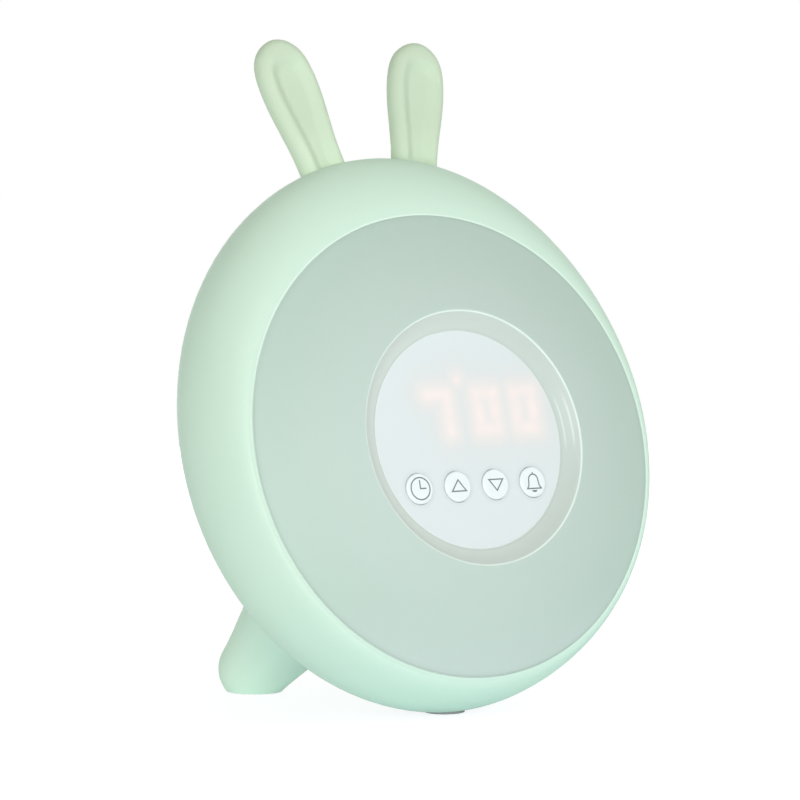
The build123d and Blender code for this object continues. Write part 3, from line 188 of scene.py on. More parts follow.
# ---- Digits that glow behind the window: mm from the window's centre, strengths ----
DIGIT_ROW = 8.0
DIGIT_PITCH = 13.4
COLON_PITCH = 16.7
DIGIT_SHIFT = -0.6
DIGIT_HALF_WIDTH = 3.2
DIGIT_HALF_HEIGHT = 5.5
ALARM_SPOT = (-1.3, 17.5)
SPOT_SHRINK = 0.8                # a spot's glow reaches this much less far than a stroke's
ZERO_FILL_SPAN = (-2.0, 1.5)     # from a zero's outline
ZERO_FILL = 0.022
STROKE_SPAN = (0.0, 2.6)
STROKE_GLOW = 0.055
HALO_SPAN = (0.8, 6.5)
HALO_GLOW = 0.095
UNEVEN_SCALE = 190.0             # noise per metre
UNEVEN_DETAIL = 1.0
UNEVEN_SPAN = (0.65, 1.3)
WARM_SPAN = (1.0, 12.0)

# ---- Ears, mm ----
EAR_BASE = (16.3, 88.3, 30.5)    # across, up and back from the window's centre
EAR_SPLAY = 13.7                 # degrees outward
EAR_LEAN = 4.4                   # degrees back from the face
EAR_LENGTH = 41.6
EAR_BASE_WIDTH = 14.8
EAR_NECK = 4.0                   # height up to which the sides are straight
EAR_WIDTH = 18.4
EAR_WIDEST = 30.0                # height of the widest place
EAR_THICKNESS = 8.0
EAR_ROUNDING = 3.6
EAR_ROOT = 3.5                   # sunk into the housing's socket
EAR_STEPS = 48                   # points along half of the outline
EAR_TURN_STEP = 10               # degrees between the rows round its edge
SPINE_LENGTH = 28.5              # of the middle line that the rows run to
SCOOP_LIP = 1.9                  # from the ear's edge to the hollow
SCOOP_TIP = 3.7                  # and this much more at the tip
SCOOP_SLOPE = 4.4                # width of the hollow's sloping side
SCOOP_DEPTH = 2.1
SCOOP_STEPS = 10
EAR_WELD = 0.001

# ---- Buttons, the icons on them, and the dark crosses on the rear screws, painted shade of their recesses, mm ----
BUTTON_PITCH = 13.2
BUTTON_ROW = -13.6
BUTTON_PLACES = [(step * BUTTON_PITCH, BUTTON_ROW) for step in (-1.5, -0.5, 0.5, 1.5)]
BUTTON_RADIUS = 4.45
BUTTON_SHADE_SPAN = (0.0, 1.8)
BUTTON_SHADE = 0.10
ICON_RADIUS = 3.2
ICON_LINE = 0.38
MITRE_LEAST = 0.35               # keeps the corner of a sharp bend short
PRINT_RELIEF = 0.03              # how far prints and crosses stand proud
PRINT_DEPTH = 0.08               # their thickness
CROSS_LENGTH = 2.9
CROSS_WIDTH = 0.75
CAD_WELD = 0.002
HEAD_FLATNESS = 0.02


# ---- Face of the clock ----
press_axis = next(joint["axis"] for joint in frame["joints"] if joint["name"] == "clock_press")
OUT = -Vector(press_axis).normalized()
RIGHT = Vector((1.0, 0.0, 0.0))
UP = OUT.cross(RIGHT)


def reach(node, axis):
    """The lowest and the highest place of a CAD node along an axis."""
    places = [vertex.co.dot(axis) for vertex in frame["nodes"][node].data.vertices]
    return min(places), max(places)


def front_centre(node):
    """Centre of the front of a round CAD node."""
    across, height = (sum(reach(node, axis)) / 2 for axis in (RIGHT, UP))
    return RIGHT * across + UP * height + OUT * reach(node, OUT)[1]


def axes(*directions):
    """The matrix that turns X, Y and Z into three directions."""
    return Matrix(directions).transposed().to_4x4()


window_centre = front_centre("display_window")


# ---- Node helpers ----
class Graph:
    """A node tree with short calls for its nodes. A source is a socket, a number or a colour."""

    def __init__(self, tree):
        self.tree = tree

    def node(self, kind, links=(), **settings):
        made = self.tree.nodes.new(kind)
        for label, value in settings.items():
            setattr(made, label, value)
        for socket, source in links:
            self.feed(made.inputs[socket], source)
        return made

    def feed(self, socket, source):
        if isinstance(source, bpy.types.NodeSocket):
            self.tree.links.new(source, socket)
        else:
            socket.default_value = source

    def math(self, operation, first, *others):
        """The result of an operation on one value, or on several, taken from left to right."""
        if not others:
            return self.node("ShaderNodeMath", [(0, first)], operation=operation).outputs[0]
        for other in others:
            links = [(0, first), (1, other)]
            first = self.node("ShaderNodeMath", links, operation=operation).outputs[0]
        return first

    def dot(self, source, axis):
        links = [(0, source), (1, axis)]
        return self.node("ShaderNodeVectorMath", links, operation="DOT_PRODUCT").outputs["Value"]

    def blend(self, share, first, second):
        """A mix of two colours: first where share is 0, second where it is 1."""
        links = [(0, share)]
        for socket, colour in ((6, first), (7, second)):
            links.append((socket, (*colour, 1.0) if isinstance(colour, tuple) else colour))
        return self.node("ShaderNodeMix", links, data_type="RGBA").outputs[2]

    def spread(self, value, low, high, new_low=0.0, new_high=1.0, shape="SMOOTHSTEP"):
        """new_low where value is low, new_high where it is high, and a smooth change between."""
        links = [(0, value), (1, low), (2, high), (3, new_low), (4, new_high)]
        return self.node("ShaderNodeMapRange", links, interpolation_type=shape).outputs[0]

    def from_edge(self, value, edge, span, *levels):
        """A smooth change over a span that is measured from an edge."""
        return self.spread(value, edge + span[0], edge + span[1], *levels)


class Shader(Graph):
    """A material with its Principled shader and the measures that its nodes use."""

    def __init__(self, name, roughness):
        self.material = bpy.data.materials.new(name)
        self.material.use_nodes = True
        super().__init__(self.material.node_tree)
        self.bsdf = self.tree.nodes["Principled BSDF"]
        self.set("Roughness", roughness)
        self.place = self.node("ShaderNodeTexCoord").outputs["Object"]

    def set(self, label, source):
        self.feed(self.bsdf.inputs[label], source)

    def noise(self, scale, detail=2.0, roughness=0.5, place=None):
        links = [("Vector", self.place if place is None else place), ("Scale", scale)]
        links += [("Detail", detail), ("Roughness", roughness)]
        return self.node("ShaderNodeTexNoise", links).outputs["Fac"]

    def from_window(self, axis):
        """Distance along an axis from the middle of the window's front, mm."""
        links = [(0, self.place), (1, window_centre)]
        offset = self.node("ShaderNodeVectorMath", links, operation="SUBTRACT").outputs[0]
        return self.math("DIVIDE", self.dot(offset, axis), MM)

    def length(self, across, height):
        squares = [self.math("POWER", side, 2.0) for side in (across, height)]
        return self.math("SQRT", self.math("ADD", *squares))

    def face_radius(self):
        """Distance from the middle of the face, mm."""
        return self.length(self.from_window(RIGHT), self.from_window(UP))

    def box_distance(self, across, height, centre, half_size):
        """Distance to a box's outline on the face, below 0 inside it, mm."""
        past = []
        for value, middle, half in zip((across, height), centre, half_size):
            offset = self.math("ABSOLUTE", self.math("SUBTRACT", value, middle))
            past.append(self.math("SUBTRACT", offset, half))
        outside = self.length(*(self.math("MAXIMUM", side, 0.0) for side in past))
        inside = self.math("MINIMUM", self.math("MAXIMUM", *past), 0.0)
        return self.math("ADD", outside, inside)

    def line_at(self, radius, place):
        """1 along a thin ring round the middle of the face, and 0 away from it."""
        away = self.math("ABSOLUTE", self.math("SUBTRACT", radius, place))
        return self.spread(away, 0.0, LINE_WIDTH, 1.0, 0.0)

    def bump(self, height, relief):
        """A relief in mm."""
        links = [("Height", height), ("Distance", relief * MM)]
        self.set("Normal", self.node("ShaderNodeBump", links).outputs["Normal"])

    def vary_roughness(self, value, low, high):
        self.set("Roughness", self.spread(value, *NOISE_SPAN, low, high))


def tinted(colour, factor):
    """A colour made darker or lighter."""
    return tuple(channel * factor for channel in colour)


def moulded(name, colour, roughness, grain=1400.0, relief=0.012, variation=0.02):
    """Moulded plastic or rubber: a fine grain, and slow changes of colour and gloss."""
    shader = Shader(name, roughness)
    cloud = shader.noise(CLOUD_SCALE, CLOUD_DETAIL)
    fine = shader.noise(grain, roughness=GRAIN_ROUGHNESS)
    shades = (tinted(colour, 1 - variation), tinted(colour, 1 + variation))
    shader.plain = shader.blend(cloud, *shades)
    shader.set("Base Color", shader.plain)
    shader.vary_roughness(cloud, roughness - GLOSS_CHANGE, roughness + GLOSS_CHANGE)
    shader.bump(fine, relief)
    return shader


# ---- Materials ----
def frosted_diffuser():
    """Frosted translucent plastic, finely blasted: a dome, and a coved recess inside its rim. Light and shade are
    painted into it: the dome lighter toward its bottom, shade inside its edge, the cove lit on the left and shaded
    on the right, a shadow round the window, a highlight on the rim, two reflections on the recess's wall, and a
    faint glow in the gaps at its edges.
    """
    shader = moulded("frosted_diffuser", DIFFUSER_OUTER, **DOME_FINISH)
    radius = shader.face_radius()
    across, height = shader.from_window(RIGHT), shader.from_window(UP)

    wander = shader.math("SUBTRACT", shader.noise(DOME_CLOUD_SCALE), 0.5)
    wander = shader.math("MULTIPLY", wander, DOME_WANDER)
    inward = shader.spread(shader.math("ADD", radius, wander), DIFFUSER_EDGE, RECESS_RIM)
    # painted light: the dome is made lighter toward its bottom, where more light falls
    low = shader.spread(height, -DIFFUSER_EDGE, -RECESS_RIM, 1.0, 0.0)
    dome = shader.blend(low, shader.blend(inward, DIFFUSER_OUTER, DIFFUSER_INNER), DIFFUSER_PAINTED_LOW_LIGHT)
    soft = shader.from_edge(radius, DIFFUSER_EDGE, SOFT_SHADE_SPAN, 0.0, SOFT_SHADE)
    unclear = shader.spread(shader.from_window(CLEAR_SIDE), *CLEAR_SPAN, THIN_SHADE, 0.0)
    thin = shader.line_at(radius, DIFFUSER_EDGE - THIN_SHADE_INSET)
    thin = shader.math("MULTIPLY", thin, unclear)
    dome = shader.blend(shader.math("MAXIMUM", soft, thin), dome, EDGE_SHADE)

    # painted light and shade: the cove is lighter on the left and darker on the right
    cove = shader.blend(shader.spread(across, -RECESS_RIM, RECESS_RIM), COVE_PAINTED_LIGHT_LEFT, COVE_PAINTED_SHADE_RIGHT)
    shadow = shader.from_edge(radius, WINDOW_EDGE, COVE_SHADOW_SPAN, COVE_SHADOW, 0.0)
    cove = shader.blend(shadow, cove, tinted(COVE_PAINTED_SHADE_RIGHT, COVE_SHADOW_FACTOR))
    recess = shader.from_edge(radius, RECESS_RIM, RECESS_SPAN, 1.0, 0.0)
    body = shader.blend(recess, dome, cove)

    # painted reflections: two faint light streaks on the right of the recess's wall
    reflection_lines = shader.math("MAXIMUM", *(shader.line_at(radius, place) for place in REFLECTION_RADII))
    side = shader.spread(across, *REFLECTION_SIDE_SPAN, 0.0, REFLECTION_SHARE)
    rising = shader.from_edge(height, REFLECTION_ENDS[0], (0.0, REFLECTION_FADE))
    falling = shader.from_edge(height, REFLECTION_ENDS[1], (-REFLECTION_FADE, 0.0), 1.0, 0.0)
    painted_reflection = shader.math("MULTIPLY", reflection_lines, side, rising, falling)
    # painted highlight: a thin bright line along the recess's rim
    rim = shader.math("MULTIPLY", shader.line_at(radius, RECESS_RIM), RIM_HIGHLIGHT_SHARE)
    shader.set("Base Color", shader.blend(shader.math("MAXIMUM", rim, painted_reflection), body, RIM_HIGHLIGHT))
    shader.set("Roughness", shader.spread(recess, 0.0, 1.0, DOME_ROUGHNESS, COVE_ROUGHNESS))

    # painted light: the steep walls at the dome's edge and round the window's hole glow faintly, filling the shade
    # of the gaps
    outer = shader.from_edge(radius, DIFFUSER_EDGE, OUTER_WALL)
    inner = shader.from_edge(radius, WINDOW_EDGE, INNER_WALL, 1.0, 0.0)
    shader.set("Emission Color", (*PAINTED_GAP_LIGHT, 1.0))
    shader.set("Emission Strength", shader.math("MAXIMUM", outer, inner))
    shader.set("Subsurface Weight", SUBSURFACE_SHARE)
    shader.set("Subsurface Scale", SUBSURFACE_REACH * MM)
    shader.set("Subsurface Radius", SUBSURFACE_RADIUS)
    return shader.material


def window_material():
    """Milk-white plastic with the blurred glow of the digits 7:00 behind it, a warm tint of that glow painted into
    its colour, painted shade round the buttons and painted light on its side wall.
    """
    shader = moulded("white_window", WINDOW_WHITE, **WINDOW_FINISH)
    across, height = shader.from_window(RIGHT), shader.from_window(UP)

    def distance(centre, half_size=(0.0, 0.0)):
        return shader.box_distance(across, height, centre, half_size)

    zero_size = (DIGIT_HALF_WIDTH, DIGIT_HALF_HEIGHT)
    zero_places = [DIGIT_SHIFT + COLON_PITCH / 2 + step for step in (0.0, DIGIT_PITCH)]
    boxes = [distance((place, DIGIT_ROW), zero_size) for place in zero_places]
    zeros = [shader.math("ABSOLUTE", box) for box in boxes]
    seven = DIGIT_SHIFT - COLON_PITCH / 2
    bar = distance((seven, DIGIT_ROW + DIGIT_HALF_HEIGHT), (DIGIT_HALF_WIDTH, 0.0))
    stem = distance((seven + DIGIT_HALF_WIDTH, DIGIT_ROW), (0.0, DIGIT_HALF_HEIGHT))
    spot = shader.math("ADD", distance(ALARM_SPOT), SPOT_SHRINK)
    nearest = shader.math("MINIMUM", spot, *zeros, bar, stem)

    filled = shader.spread(shader.math("MINIMUM", *boxes), *ZERO_FILL_SPAN, ZERO_FILL, 0.0)
    stroke = shader.spread(nearest, *STROKE_SPAN, STROKE_GLOW, 0.0)
    uneven = shader.noise(UNEVEN_SCALE, UNEVEN_DETAIL)
    uneven = shader.spread(uneven, *NOISE_SPAN, *UNEVEN_SPAN)
    glow = shader.math("MULTIPLY", shader.math("ADD", stroke, filled), uneven)
    halo = shader.spread(nearest, *HALO_SPAN, HALO_GLOW, 0.0)
    # painted light: the window's side wall glows faintly, filling the shade of the gap round it
    wall = shader.from_edge(shader.face_radius(), WINDOW_EDGE, OUTER_WALL)
    shader.set("Emission Strength", shader.math("ADD", glow, halo, wall))
    shader.set("Emission Color", shader.blend(wall, GLOW_PINK, PAINTED_GAP_LIGHT))

    # painted light: the digits' glow is painted into the window's colour as a warm tint near them
    glow_tint = shader.spread(nearest, *WARM_SPAN, 1.0, 0.0)
    glow_tint = shader.blend(glow_tint, shader.plain, WINDOW_PAINTED_GLOW_TINT)
    # painted shade round the buttons, darkened toward the icons' grey
    button = shader.math("MINIMUM", *(distance(place) for place in BUTTON_PLACES))
    shade = shader.from_edge(button, BUTTON_RADIUS, BUTTON_SHADE_SPAN, BUTTON_SHADE, 0.0)
    shader.set("Base Color", shader.blend(shade, glow_tint, ICON_INK_AND_SHADE_GREY))
    return shader.material


def shell_material():
    """Soft-touch mint shell, with a painted highlight along the lip that holds the diffuser, painted cool light
    toward the bottom, and painted light that makes the feet and what is behind them lighter.
    """
    shader = moulded("mint_shell", MINT, **SHELL_FINISH)
    shader.set("Specular IOR Level", SHELL_SPECULAR)
    out = shader.from_window(OUT)
    # painted light: a cool tint toward the bottom stands in for light thrown up from the floor
    painted_cool_light = shader.spread(shader.from_window(PAINTED_COOL_LIGHT_SIDE), *COOL_SPAN)
    mint = shader.blend(painted_cool_light, shader.plain, MINT_PAINTED_COOL_LIGHT)
    # painted light: the feet and what is behind them are made lighter than the rest of the shell
    behind = shader.spread(out, *BEHIND_SPAN, 1.0, 0.0)
    mint = shader.blend(behind, mint, tinted(MINT, BEHIND_PAINTED_LIGHT_FACTOR))
    # painted highlight: a bright line along the lip round the diffuser, strongest where the lip catches most light
    lip = shader.line_at(shader.face_radius(), DIFFUSER_EDGE + LINE_WIDTH)
    before = shader.from_edge(out, -LIP_BEHIND, (-LIP_FADE, 0.0), 0.0, LIP_HIGHLIGHT_SHARE)
    clear = shader.spread(shader.from_window(CLEAR_SIDE), *CLEAR_SPAN, CLEAR_LEAST, 1.0)
    line = shader.math("MULTIPLY", lip, before, clear)
    shader.set("Base Color", shader.blend(line, mint, MINT_LIP_HIGHLIGHT))
    return shader.material


def silicone():
    """Soft silicone, a little paler toward the ears' roots."""
    shader = moulded("mint_silicone", EAR_MINT, **SILICONE_FINISH)
    shader.set("Specular IOR Level", SILICONE_SPECULAR)
    low = shader.from_edge(shader.from_window(UP), EAR_BASE[1], EAR_PALE_SPAN, 1.0, 0.0)
    pale = tinted(EAR_MINT, EAR_PALE_FACTOR)
    shader.set("Base Color", shader.blend(low, shader.plain, pale))
    return shader.material


def circuit_board():
    """Green solder mask over faint copper tracks."""
    shader = Shader("circuit_board", BOARD_ROUGHNESS)
    links = [("Vector", shader.place), ("Scale", TRACK_SCALE)]
    tracks = shader.node("ShaderNodeTexBrick", links).outputs["Fac"]
    green = shader.blend(shader.noise(BOARD_CLOUD_SCALE), BOARD_DARK, BOARD_LIGHT)
    share = shader.math("MULTIPLY", tracks, TRACK_SHARE)
    shader.set("Base Color", shader.blend(share, green, BOARD_TRACK))
    shader.bump(tracks, TRACK_RELIEF)
    return shader.material


def metal(name, colour, roughness, stretch=1.0):
    """Plated or rolled metal with fine scratches."""
    shader = Shader(name, roughness)
    shader.set("Metallic", 1.0)
    links = [("Vector", shader.place), ("Scale", (1.0, 1.0, stretch))]
    place = shader.node("ShaderNodeMapping", links).outputs["Vector"]
    scratches = shader.noise(SCRATCH_SCALE, SCRATCH_DETAIL, place=place)
    shader.set("Base Color", shader.blend(scratches, tinted(colour, SCRATCH_SHADE), colour))
    shader.vary_roughness(scratches, *(roughness + change for change in SCRATCH_GLOSS))
    shader.bump(scratches, SCRATCH_RELIEF)
    return shader.material


materials = {
    "mint_shell": shell_material(),
    "mint_silicone": silicone(),
    "frosted_diffuser": frosted_diffuser(),
    "white_window": window_material(),
    "button_white": moulded("button_white", BUTTON_WHITE, **BUTTON_FINISH).material,
    "control_grey": moulded("control_grey", CONTROL_GREY, 0.45).material,
    "pad_rubber": moulded("pad_rubber", PAD_GREY, **PAD_FINISH).material,
    "inner_white": moulded("inner_white", INNER_WHITE, 0.40).material,
    "circuit_board": circuit_board(),
    "led_body": moulded("led_body", LED_YELLOW, 0.35).material,
    "display_body": moulded("display_body", DISPLAY_BLACK, 0.45).material,
    "component_black": moulded("component_black", COMPONENT_BLACK, 0.50).material,
    "plunger_plastic": moulded("plunger_plastic", PLUNGER_BLACK, 0.40).material,
    "connector_steel": metal("connector_steel", CONNECTOR_METAL, 0.28),
    "screw_steel": metal("screw_steel", SCREW_METAL, 0.34),
    "cell_foil": metal("cell_foil", FOIL_METAL, 0.42, stretch=0.2),
    "wiring": moulded("wiring", WIRE_WHITE, 0.55).material,
}
icon_ink = moulded("icon_ink", ICON_INK_AND_SHADE_GREY, **INK_FINISH).material

slot_of = {part["node"]: part["material_slot"] for part in frame["record"]["subparts"]}
for node_name, node in frame["nodes"].items():
    node.data.materials.clear()
    node.data.materials.append(materials[slot_of[node_name]])


# ---- New pieces, each drawn in mm on its own plane ----
def add_piece(name, build, place, material, body):
    """Makes a piece of a bmesh, moves it to its place and lets it ride on a body."""
    mesh = bpy.data.meshes.new(name)
    build.to_mesh(mesh)
    build.free()
    mesh.transform(place @ Matrix.Scale(MM, 4))
    mesh.materials.append(material)
    piece = bpy.data.objects.new(name, mesh)
    bpy.context.scene.collection.objects.link(piece)
    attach(piece, body)
    return piece


def add_patch(build, points):
    """A flat printed patch within points."""
    build.faces.new([build.verts.new((*point, PRINT_RELIEF)) for point in points])


def add_line(build, points, closed):
    """A flat printed line of constant width along points."""
    points = [Vector(point) for point in points]
    count = len(points)
    rows = []
    for index, point in enumerate(points):
        arrive = (point - points[index - 1]).normalized()
        leave = (points[(index + 1) % count] - point).normalized()
        if not closed and index == 0:
            arrive = leave
        if not closed and index == count - 1:
            leave = arrive
        along = (arrive + leave).normalized()
        across = Vector((-along.y, along.x))
        offset = across * (ICON_LINE / 2 / max(MITRE_LEAST, along.dot(arrive)))
        sides = (point + offset, point - offset)
        rows.append([build.verts.new((*side, PRINT_RELIEF)) for side in sides])
    for index in range(count if closed else count - 1):
        first, second = rows[index], rows[(index + 1) % count]
        build.faces.new((first[0], first[1], second[1], second[0]))


def thicken(build):
    """Turns flat prints into thin closed solids that reach down from them."""
    made = bmesh.ops.extrude_face_region(build, geom=list(build.faces))["geom"]
    low = [item for item in made if isinstance(item, bmesh.types.BMVert)]
    bmesh.ops.translate(build, verts=low, vec=Vector((0.0, 0.0, -PRINT_DEPTH)))
    bmesh.ops.recalc_face_normals(build, faces=build.faces)


def arc(centre, radius, start, end, steps):
    """Points along an arc, angles in degrees."""
    turns = [math.radians(start + (end - start) * step / steps) for step in range(steps + 1)]
    return [
        (centre[0] + radius * math.cos(turn), centre[1] + radius * math.sin(turn))
        for turn in turns
    ]


# ---- Icons on the front buttons ----
def draw_clock(build):
    """A round dial with its two hands."""
    upright_hand, level_hand = 2.5, 2.0
    add_line(build, arc((0, 0), ICON_RADIUS, 0, 360, 48)[:-1], closed=True)
    add_line(build, [(0, upright_hand), (0, 0), (level_hand, 0)], closed=False)


def draw_up(build, direction=1):
    """A triangle that points up, or down where direction is -1."""
    base, tip, half_width = -1.4 * direction, 1.85 * direction, 2.45
    add_line(build, [(-half_width, base), (half_width, base), (0, tip)], closed=True)


def draw_down(build):
    draw_up(build, -1)


def draw_bell(build):
    """A bell with its crown, and the lower half of its clapper."""
    skirt = [(2.45, -1.95), (1.85, -1.1)]
    shoulder = arc((0, 0.65), 1.6, 0, 180, 16)
    crown = [(0, 2.25), (0, 2.8)]
    clapper_stretch, clapper = 1.6, arc((0, -2.45), 0.6, 180, 360, 10)
    add_line(build, skirt + shoulder + [(-x, y) for x, y in skirt[::-1]], closed=True)
    add_line(build, crown, closed=False)
    add_patch(build, [(clapper_stretch * x, y) for x, y in clapper])


def add_icon(name, draw, button):
    """Printed lines on a button's front, a hair proud of it."""
    build = bmesh.new()
    draw(build)
    thicken(build)
    place = Matrix.Translation(front_centre(button)) @ axes(RIGHT, UP, OUT)
    add_piece(name, build, place, icon_ink, button)


add_icon("clock_icon", draw_clock, "clock_button")
add_icon("up_icon", draw_up, "up_button")
add_icon("down_icon", draw_down, "down_button")
add_icon("bell_icon", draw_bell, "bell_button")


# ---- Dark crosses on the four screws that show in the rear cover: painted shade of their cross recesses ----
def screw_heads(node):
    """Middle of the outer face of each screw's head in a CAD node."""
    build = bmesh.new()
    build.from_mesh(frame["nodes"][node].data)
    bmesh.ops.remove_doubles(build, verts=build.verts, dist=CAD_WELD * MM)
    waiting, heads = set(build.verts), []
    while waiting:
        island, edge = set(), [waiting.pop()]
        while edge:
            vertex = edge.pop()
            island.add(vertex)
            near = {link.other_vert(vertex) for link in vertex.link_edges} & waiting
            waiting -= near
            edge.extend(near)
        outer = min(vertex.co.dot(OUT) for vertex in island) + HEAD_FLATNESS * MM
        face = [v.co for v in build.verts if v in island and v.co.dot(OUT) < outer]
        heads.append(sum(face, Vector()) / len(face))
    build.free()
    return sorted(heads, key=tuple)


def add_crosses(name, node):
    """Dark crosses on screw heads, a hair proud of them: painted shade where their cross recesses are."""
    arm, half = CROSS_LENGTH / 2, CROSS_WIDTH / 2
    outline = [(half, arm), (half, half), (arm, half)]
    for _ in range(3):
        outline += [(y, -x) for x, y in outline[-3:]]
    rear = axes(-RIGHT, UP, -OUT)
    build = bmesh.new()
    for head in screw_heads(node):
        across, height, depth = rear.inverted() @ head / MM
        spots = [(across + x, height + y, depth + PRINT_RELIEF) for x, y in outline]
        build.faces.new([build.verts.new(spot) for spot in spots])
    thicken(build)
    add_piece(name, build, rear, materials["component_black"], "housing")


add_crosses("screw_crosses", "cover_screws")


# ---- Ears: silicone, with a softly hollowed front ----
def smooth_curve(points, first_tangent, last_tangent, count):
    """Points along the cubic spline through points, with its end directions given."""
    points = np.array(points, dtype=float)
    chords = np.diff(points, axis=0)
    steps = np.linalg.norm(chords, axis=1)
    size = len(points)
    matrix, right = np.eye(size), np.zeros((size, 2))
    right[0], right[-1] = first_tangent, last_tangent
    for index in range(1, size - 1):
        before, after = steps[index - 1], steps[index]
        matrix[index, index - 1 : index + 2] = after, 2 * (before + after), before
        slope_before, slope_after = chords[index - 1] / before, chords[index] / after
        right[index] = 3 * (after * slope_before + before * slope_after)
    slopes = np.linalg.solve(matrix, right)
    places = np.concatenate(([0.0], np.cumsum(steps)))
    curve = []
    for place in np.linspace(0.0, places[-1], count):
        index = min(np.searchsorted(places, place, side="right") - 1, size - 2)
        step, share = steps[index], (place - places[index]) / steps[index]
        curve.append(
            (1 + 2 * share) * (1 - share) ** 2 * points[index]
            + share * (1 - share) ** 2 * step * slopes[index]
            + share**2 * (3 - 2 * share) * points[index + 1]
            + share**2 * (share - 1) * step * slopes[index + 1]
        )
    return np.array(curve)


def smoothstep(share):
    share = min(max(share, 0.0), 1.0)
    return share * share * (3 - 2 * share)


def ear_outline():
    """The ear's outline, from one side of its root over the tip to the other."""
    tip, slant = EAR_LENGTH - EAR_WIDEST, math.sqrt(0.5)
    points = [
        (EAR_BASE_WIDTH / 2, -EAR_ROOT),
        (EAR_BASE_WIDTH / 2, EAR_NECK),
        (EAR_WIDTH / 2, EAR_WIDEST),
        (EAR_WIDTH / 2 * slant, EAR_WIDEST + tip * slant),
        (0.0, EAR_LENGTH),
    ]
    half = smooth_curve(points, (0.0, 1.0), (-1.0, 0.0), EAR_STEPS)
    return np.concatenate((half, (half * (-1, 1))[-2::-1]))


def ear_height(inward):
    """Half of the ear's thickness at a distance inward from its edge, without the hollow."""
    turn = min(inward / EAR_ROUNDING, 1.0)
    return EAR_THICKNESS / 2 - EAR_ROUNDING + EAR_ROUNDING * math.sqrt(1 - (1 - turn) ** 2)


def ear_row(spot):
    """Points across the ear at a spot of its outline: from the spine along the back, round the
    edge and along the front to the spine again."""
    spine = np.array((0.0, min(spot[1], SPINE_LENGTH)))
    reach_in = np.linalg.norm(spine - spot)
    toward = (spine - spot) / reach_in
    near_tip = max(0.0, spot[1] - SPINE_LENGTH) / (EAR_LENGTH - SPINE_LENGTH)
    lip = SCOOP_LIP + SCOOP_TIP * near_tip**2
    turns = [math.radians(angle) for angle in range(0, 91, EAR_TURN_STEP)]
    edge = [EAR_ROUNDING * (1 - math.cos(turn)) for turn in turns]
    step = (reach_in - EAR_ROUNDING) / SCOOP_STEPS
    inner = [EAR_ROUNDING + step * count for count in range(1, SCOOP_STEPS + 1)]
    row = [(reach_in, -EAR_THICKNESS / 2)]
    row += [(inward, -ear_height(inward)) for inward in reversed(edge)]
    for inward in edge + inner:
        hollow = SCOOP_DEPTH * smoothstep((inward - lip) / SCOOP_SLOPE)
        row.append((inward, ear_height(inward) - hollow))
    return [(*(spot + toward * inward), height) for inward, height in row]


def ear_place(side):
    """Where an ear stands: X across it, Y up along it, Z out of its front."""
    across, up, back = EAR_BASE
    root = window_centre + (RIGHT * side * across + UP * up - OUT * back) * MM
    splay, lean = math.radians(EAR_SPLAY), math.radians(EAR_LEAN)
    along = UP * math.cos(splay) * math.cos(lean) + RIGHT * side * math.sin(splay)
    along = (along - OUT * math.sin(lean)).normalized()
    right = along.cross(OUT).normalized()
    return Matrix.Translation(root) @ axes(right, along, right.cross(along))


def add_ear(side, name, node):
    """A soft ear in place of the CAD's, on the left where side is -1 and on the right where 1."""
    build = bmesh.new()
    rows = [[build.verts.new(point) for point in ear_row(spot)] for spot in ear_outline()]
    for first, second in zip(rows, rows[1:]):
        for index in range(len(first) - 1):
            corners = (first[index], second[index], second[index + 1], first[index + 1])
            build.faces.new(corners)
    bmesh.ops.remove_doubles(build, verts=build.verts, dist=EAR_WELD)
    bmesh.ops.holes_fill(build, edges=build.edges, sides=0)
    bmesh.ops.recalc_face_normals(build, faces=build.faces)
    for face in build.faces:
        face.smooth = True
    material = materials["mint_silicone"]
    ear = add_piece(name, build, ear_place(side), material, "housing")
    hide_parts(node)


add_ear(-1, "left_ear_soft", "left_ear")
add_ear(1, "right_ear_soft", "right_ear")


# ---- Studio ----
def make_camera():
    azimuth, elevation = math.radians(CAMERA_AZIMUTH), math.radians(CAMERA_ELEVATION)
    level = math.cos(elevation)
    back = Vector((math.sin(azimuth) * level, -math.cos(azimuth) * level, math.sin(elevation)))
    data = bpy.data.cameras.new("camera")
    data.lens = CAMERA_LENS
    data.sensor_width = CAMERA_SENSOR
    data.clip_start = CAMERA_NEAR * MM
    camera = bpy.data.objects.new("camera", data)
    camera.location = window_centre + (Vector(CAMERA_AIM) + back * CAMERA_DISTANCE) * MM
    camera.rotation_euler = (-back).to_track_quat("-Z", "Y").to_euler()
    bpy.context.scene.collection.objects.link(camera)
    bpy.context.scene.camera = camera


def background_rays(graph):
    """1 for what the camera, mirrors and glass see, and 0 for the light on the object."""
    path = graph.node("ShaderNodeLightPath").outputs
    kinds = ("Is Camera Ray", "Is Glossy Ray", "Is Transmission Ray")
    return graph.math("MAXIMUM", *(path[kind] for kind in kinds))


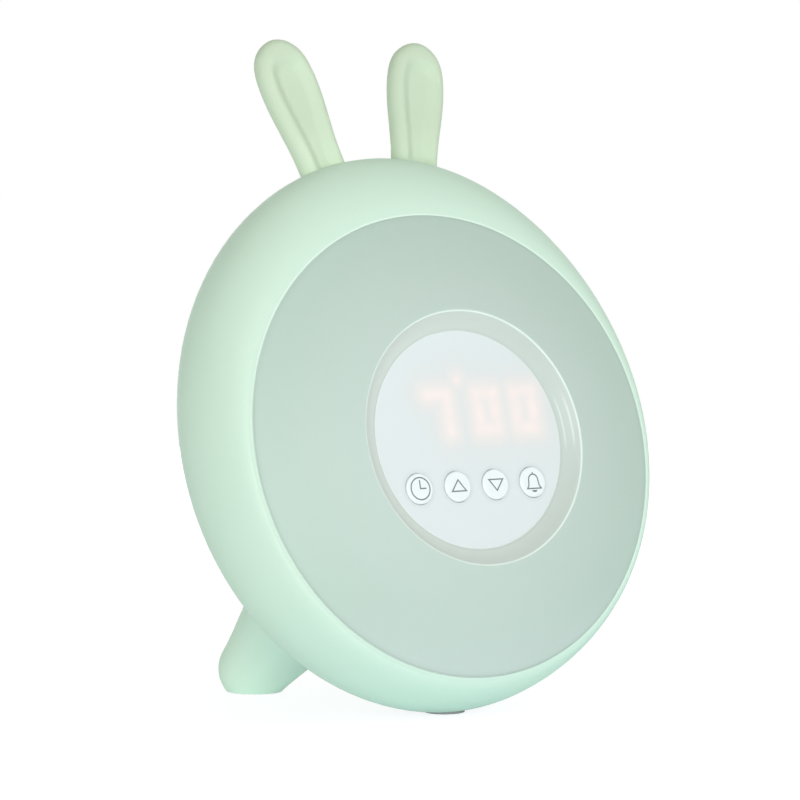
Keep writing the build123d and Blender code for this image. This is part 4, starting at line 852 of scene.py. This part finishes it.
def make_world():
    """A white studio, brighter on one side than on the other, with a darker patch on the left."""
    world = bpy.data.worlds.new("studio")
    world.use_nodes = True
    graph = Graph(world.node_tree)
    direction = graph.node("ShaderNodeTexCoord").outputs["Generated"]
    dimness = graph.dot(direction, Vector(DIM_SIDE).normalized())
    level = graph.spread(dimness, -1.0, 1.0, BRIGHT_LEVEL, DIM_LEVEL, "LINEAR")
    darkness = graph.dot(direction, Vector(DARK_SIDE).normalized())
    patch = graph.spread(darkness, *PATCH_SPAN, 0.0, PATCH_DEPTH, "LINEAR")
    seen = background_rays(graph)
    links = [(0, seen), (2, graph.math("SUBTRACT", level, patch)), (3, 1.0)]
    strength = graph.node("ShaderNodeMix", links).outputs[0]
    colour = graph.blend(seen, graph.blend(dimness, BRIGHT_TINT, DIM_TINT), WHITE)
    background = graph.tree.nodes["Background"]
    graph.feed(background.inputs["Strength"], strength)
    graph.feed(background.inputs["Color"], colour)
    bpy.context.scene.world = world


def floor_material():
    """A pale floor that is almost white to the camera, and keeps the object's shadow."""
    material = bpy.data.materials.new("pale_floor")
    material.use_nodes = True
    graph = Graph(material.node_tree)
    seen = background_rays(graph)
    matt = graph.tree.nodes["Principled BSDF"]
    graph.feed(matt.inputs["Base Color"], graph.blend(seen, FLOOR_WHITE, FLOOR_SEEN))
    graph.feed(matt.inputs["Roughness"], FLOOR_ROUGHNESS)
    graph.feed(matt.inputs["Emission Color"], (*FLOOR_BOUNCE, 1.0))
    graph.feed(matt.inputs["Emission Strength"], FLOOR_GLOW)
    white = graph.node("ShaderNodeEmission")
    share = graph.math("MULTIPLY", seen, FLOOR_CLEARING)
    links = [(0, share), (1, matt.outputs[0]), (2, white.outputs[0])]
    surface = graph.node("ShaderNodeMixShader", links).outputs[0]
    graph.feed(graph.tree.nodes["Material Output"].inputs["Surface"], surface)
    return material


def make_floor():
    half = FLOOR_SIZE / 2
    mesh = bpy.data.meshes.new("floor")
    corners = [(-half, -half, 0), (half, -half, 0), (half, half, 0), (-half, half, 0)]
    mesh.from_pydata(corners, [], [(0, 1, 2, 3)])
    mesh.materials.append(floor_material())
    floor = bpy.data.objects.new("floor", mesh)
    bpy.context.scene.collection.objects.link(floor)


def area_light(name, place, aim, size, power, tint):
    data = bpy.data.lights.new(name, "AREA")
    data.shape = "DISK"
    data.size = size
    data.energy = power
    data.color = tint
    lamp = bpy.data.objects.new(name, data)
    lamp.location = place
    lamp.rotation_euler = (Vector(aim) - Vector(place)).to_track_quat("-Z", "Y").to_euler()
    bpy.context.scene.collection.objects.link(lamp)


make_camera()
make_world()
make_floor()
for light_name, settings in LIGHTS.items():
    area_light(light_name, *settings)
bpy.context.scene.view_settings.view_transform = "Standard"
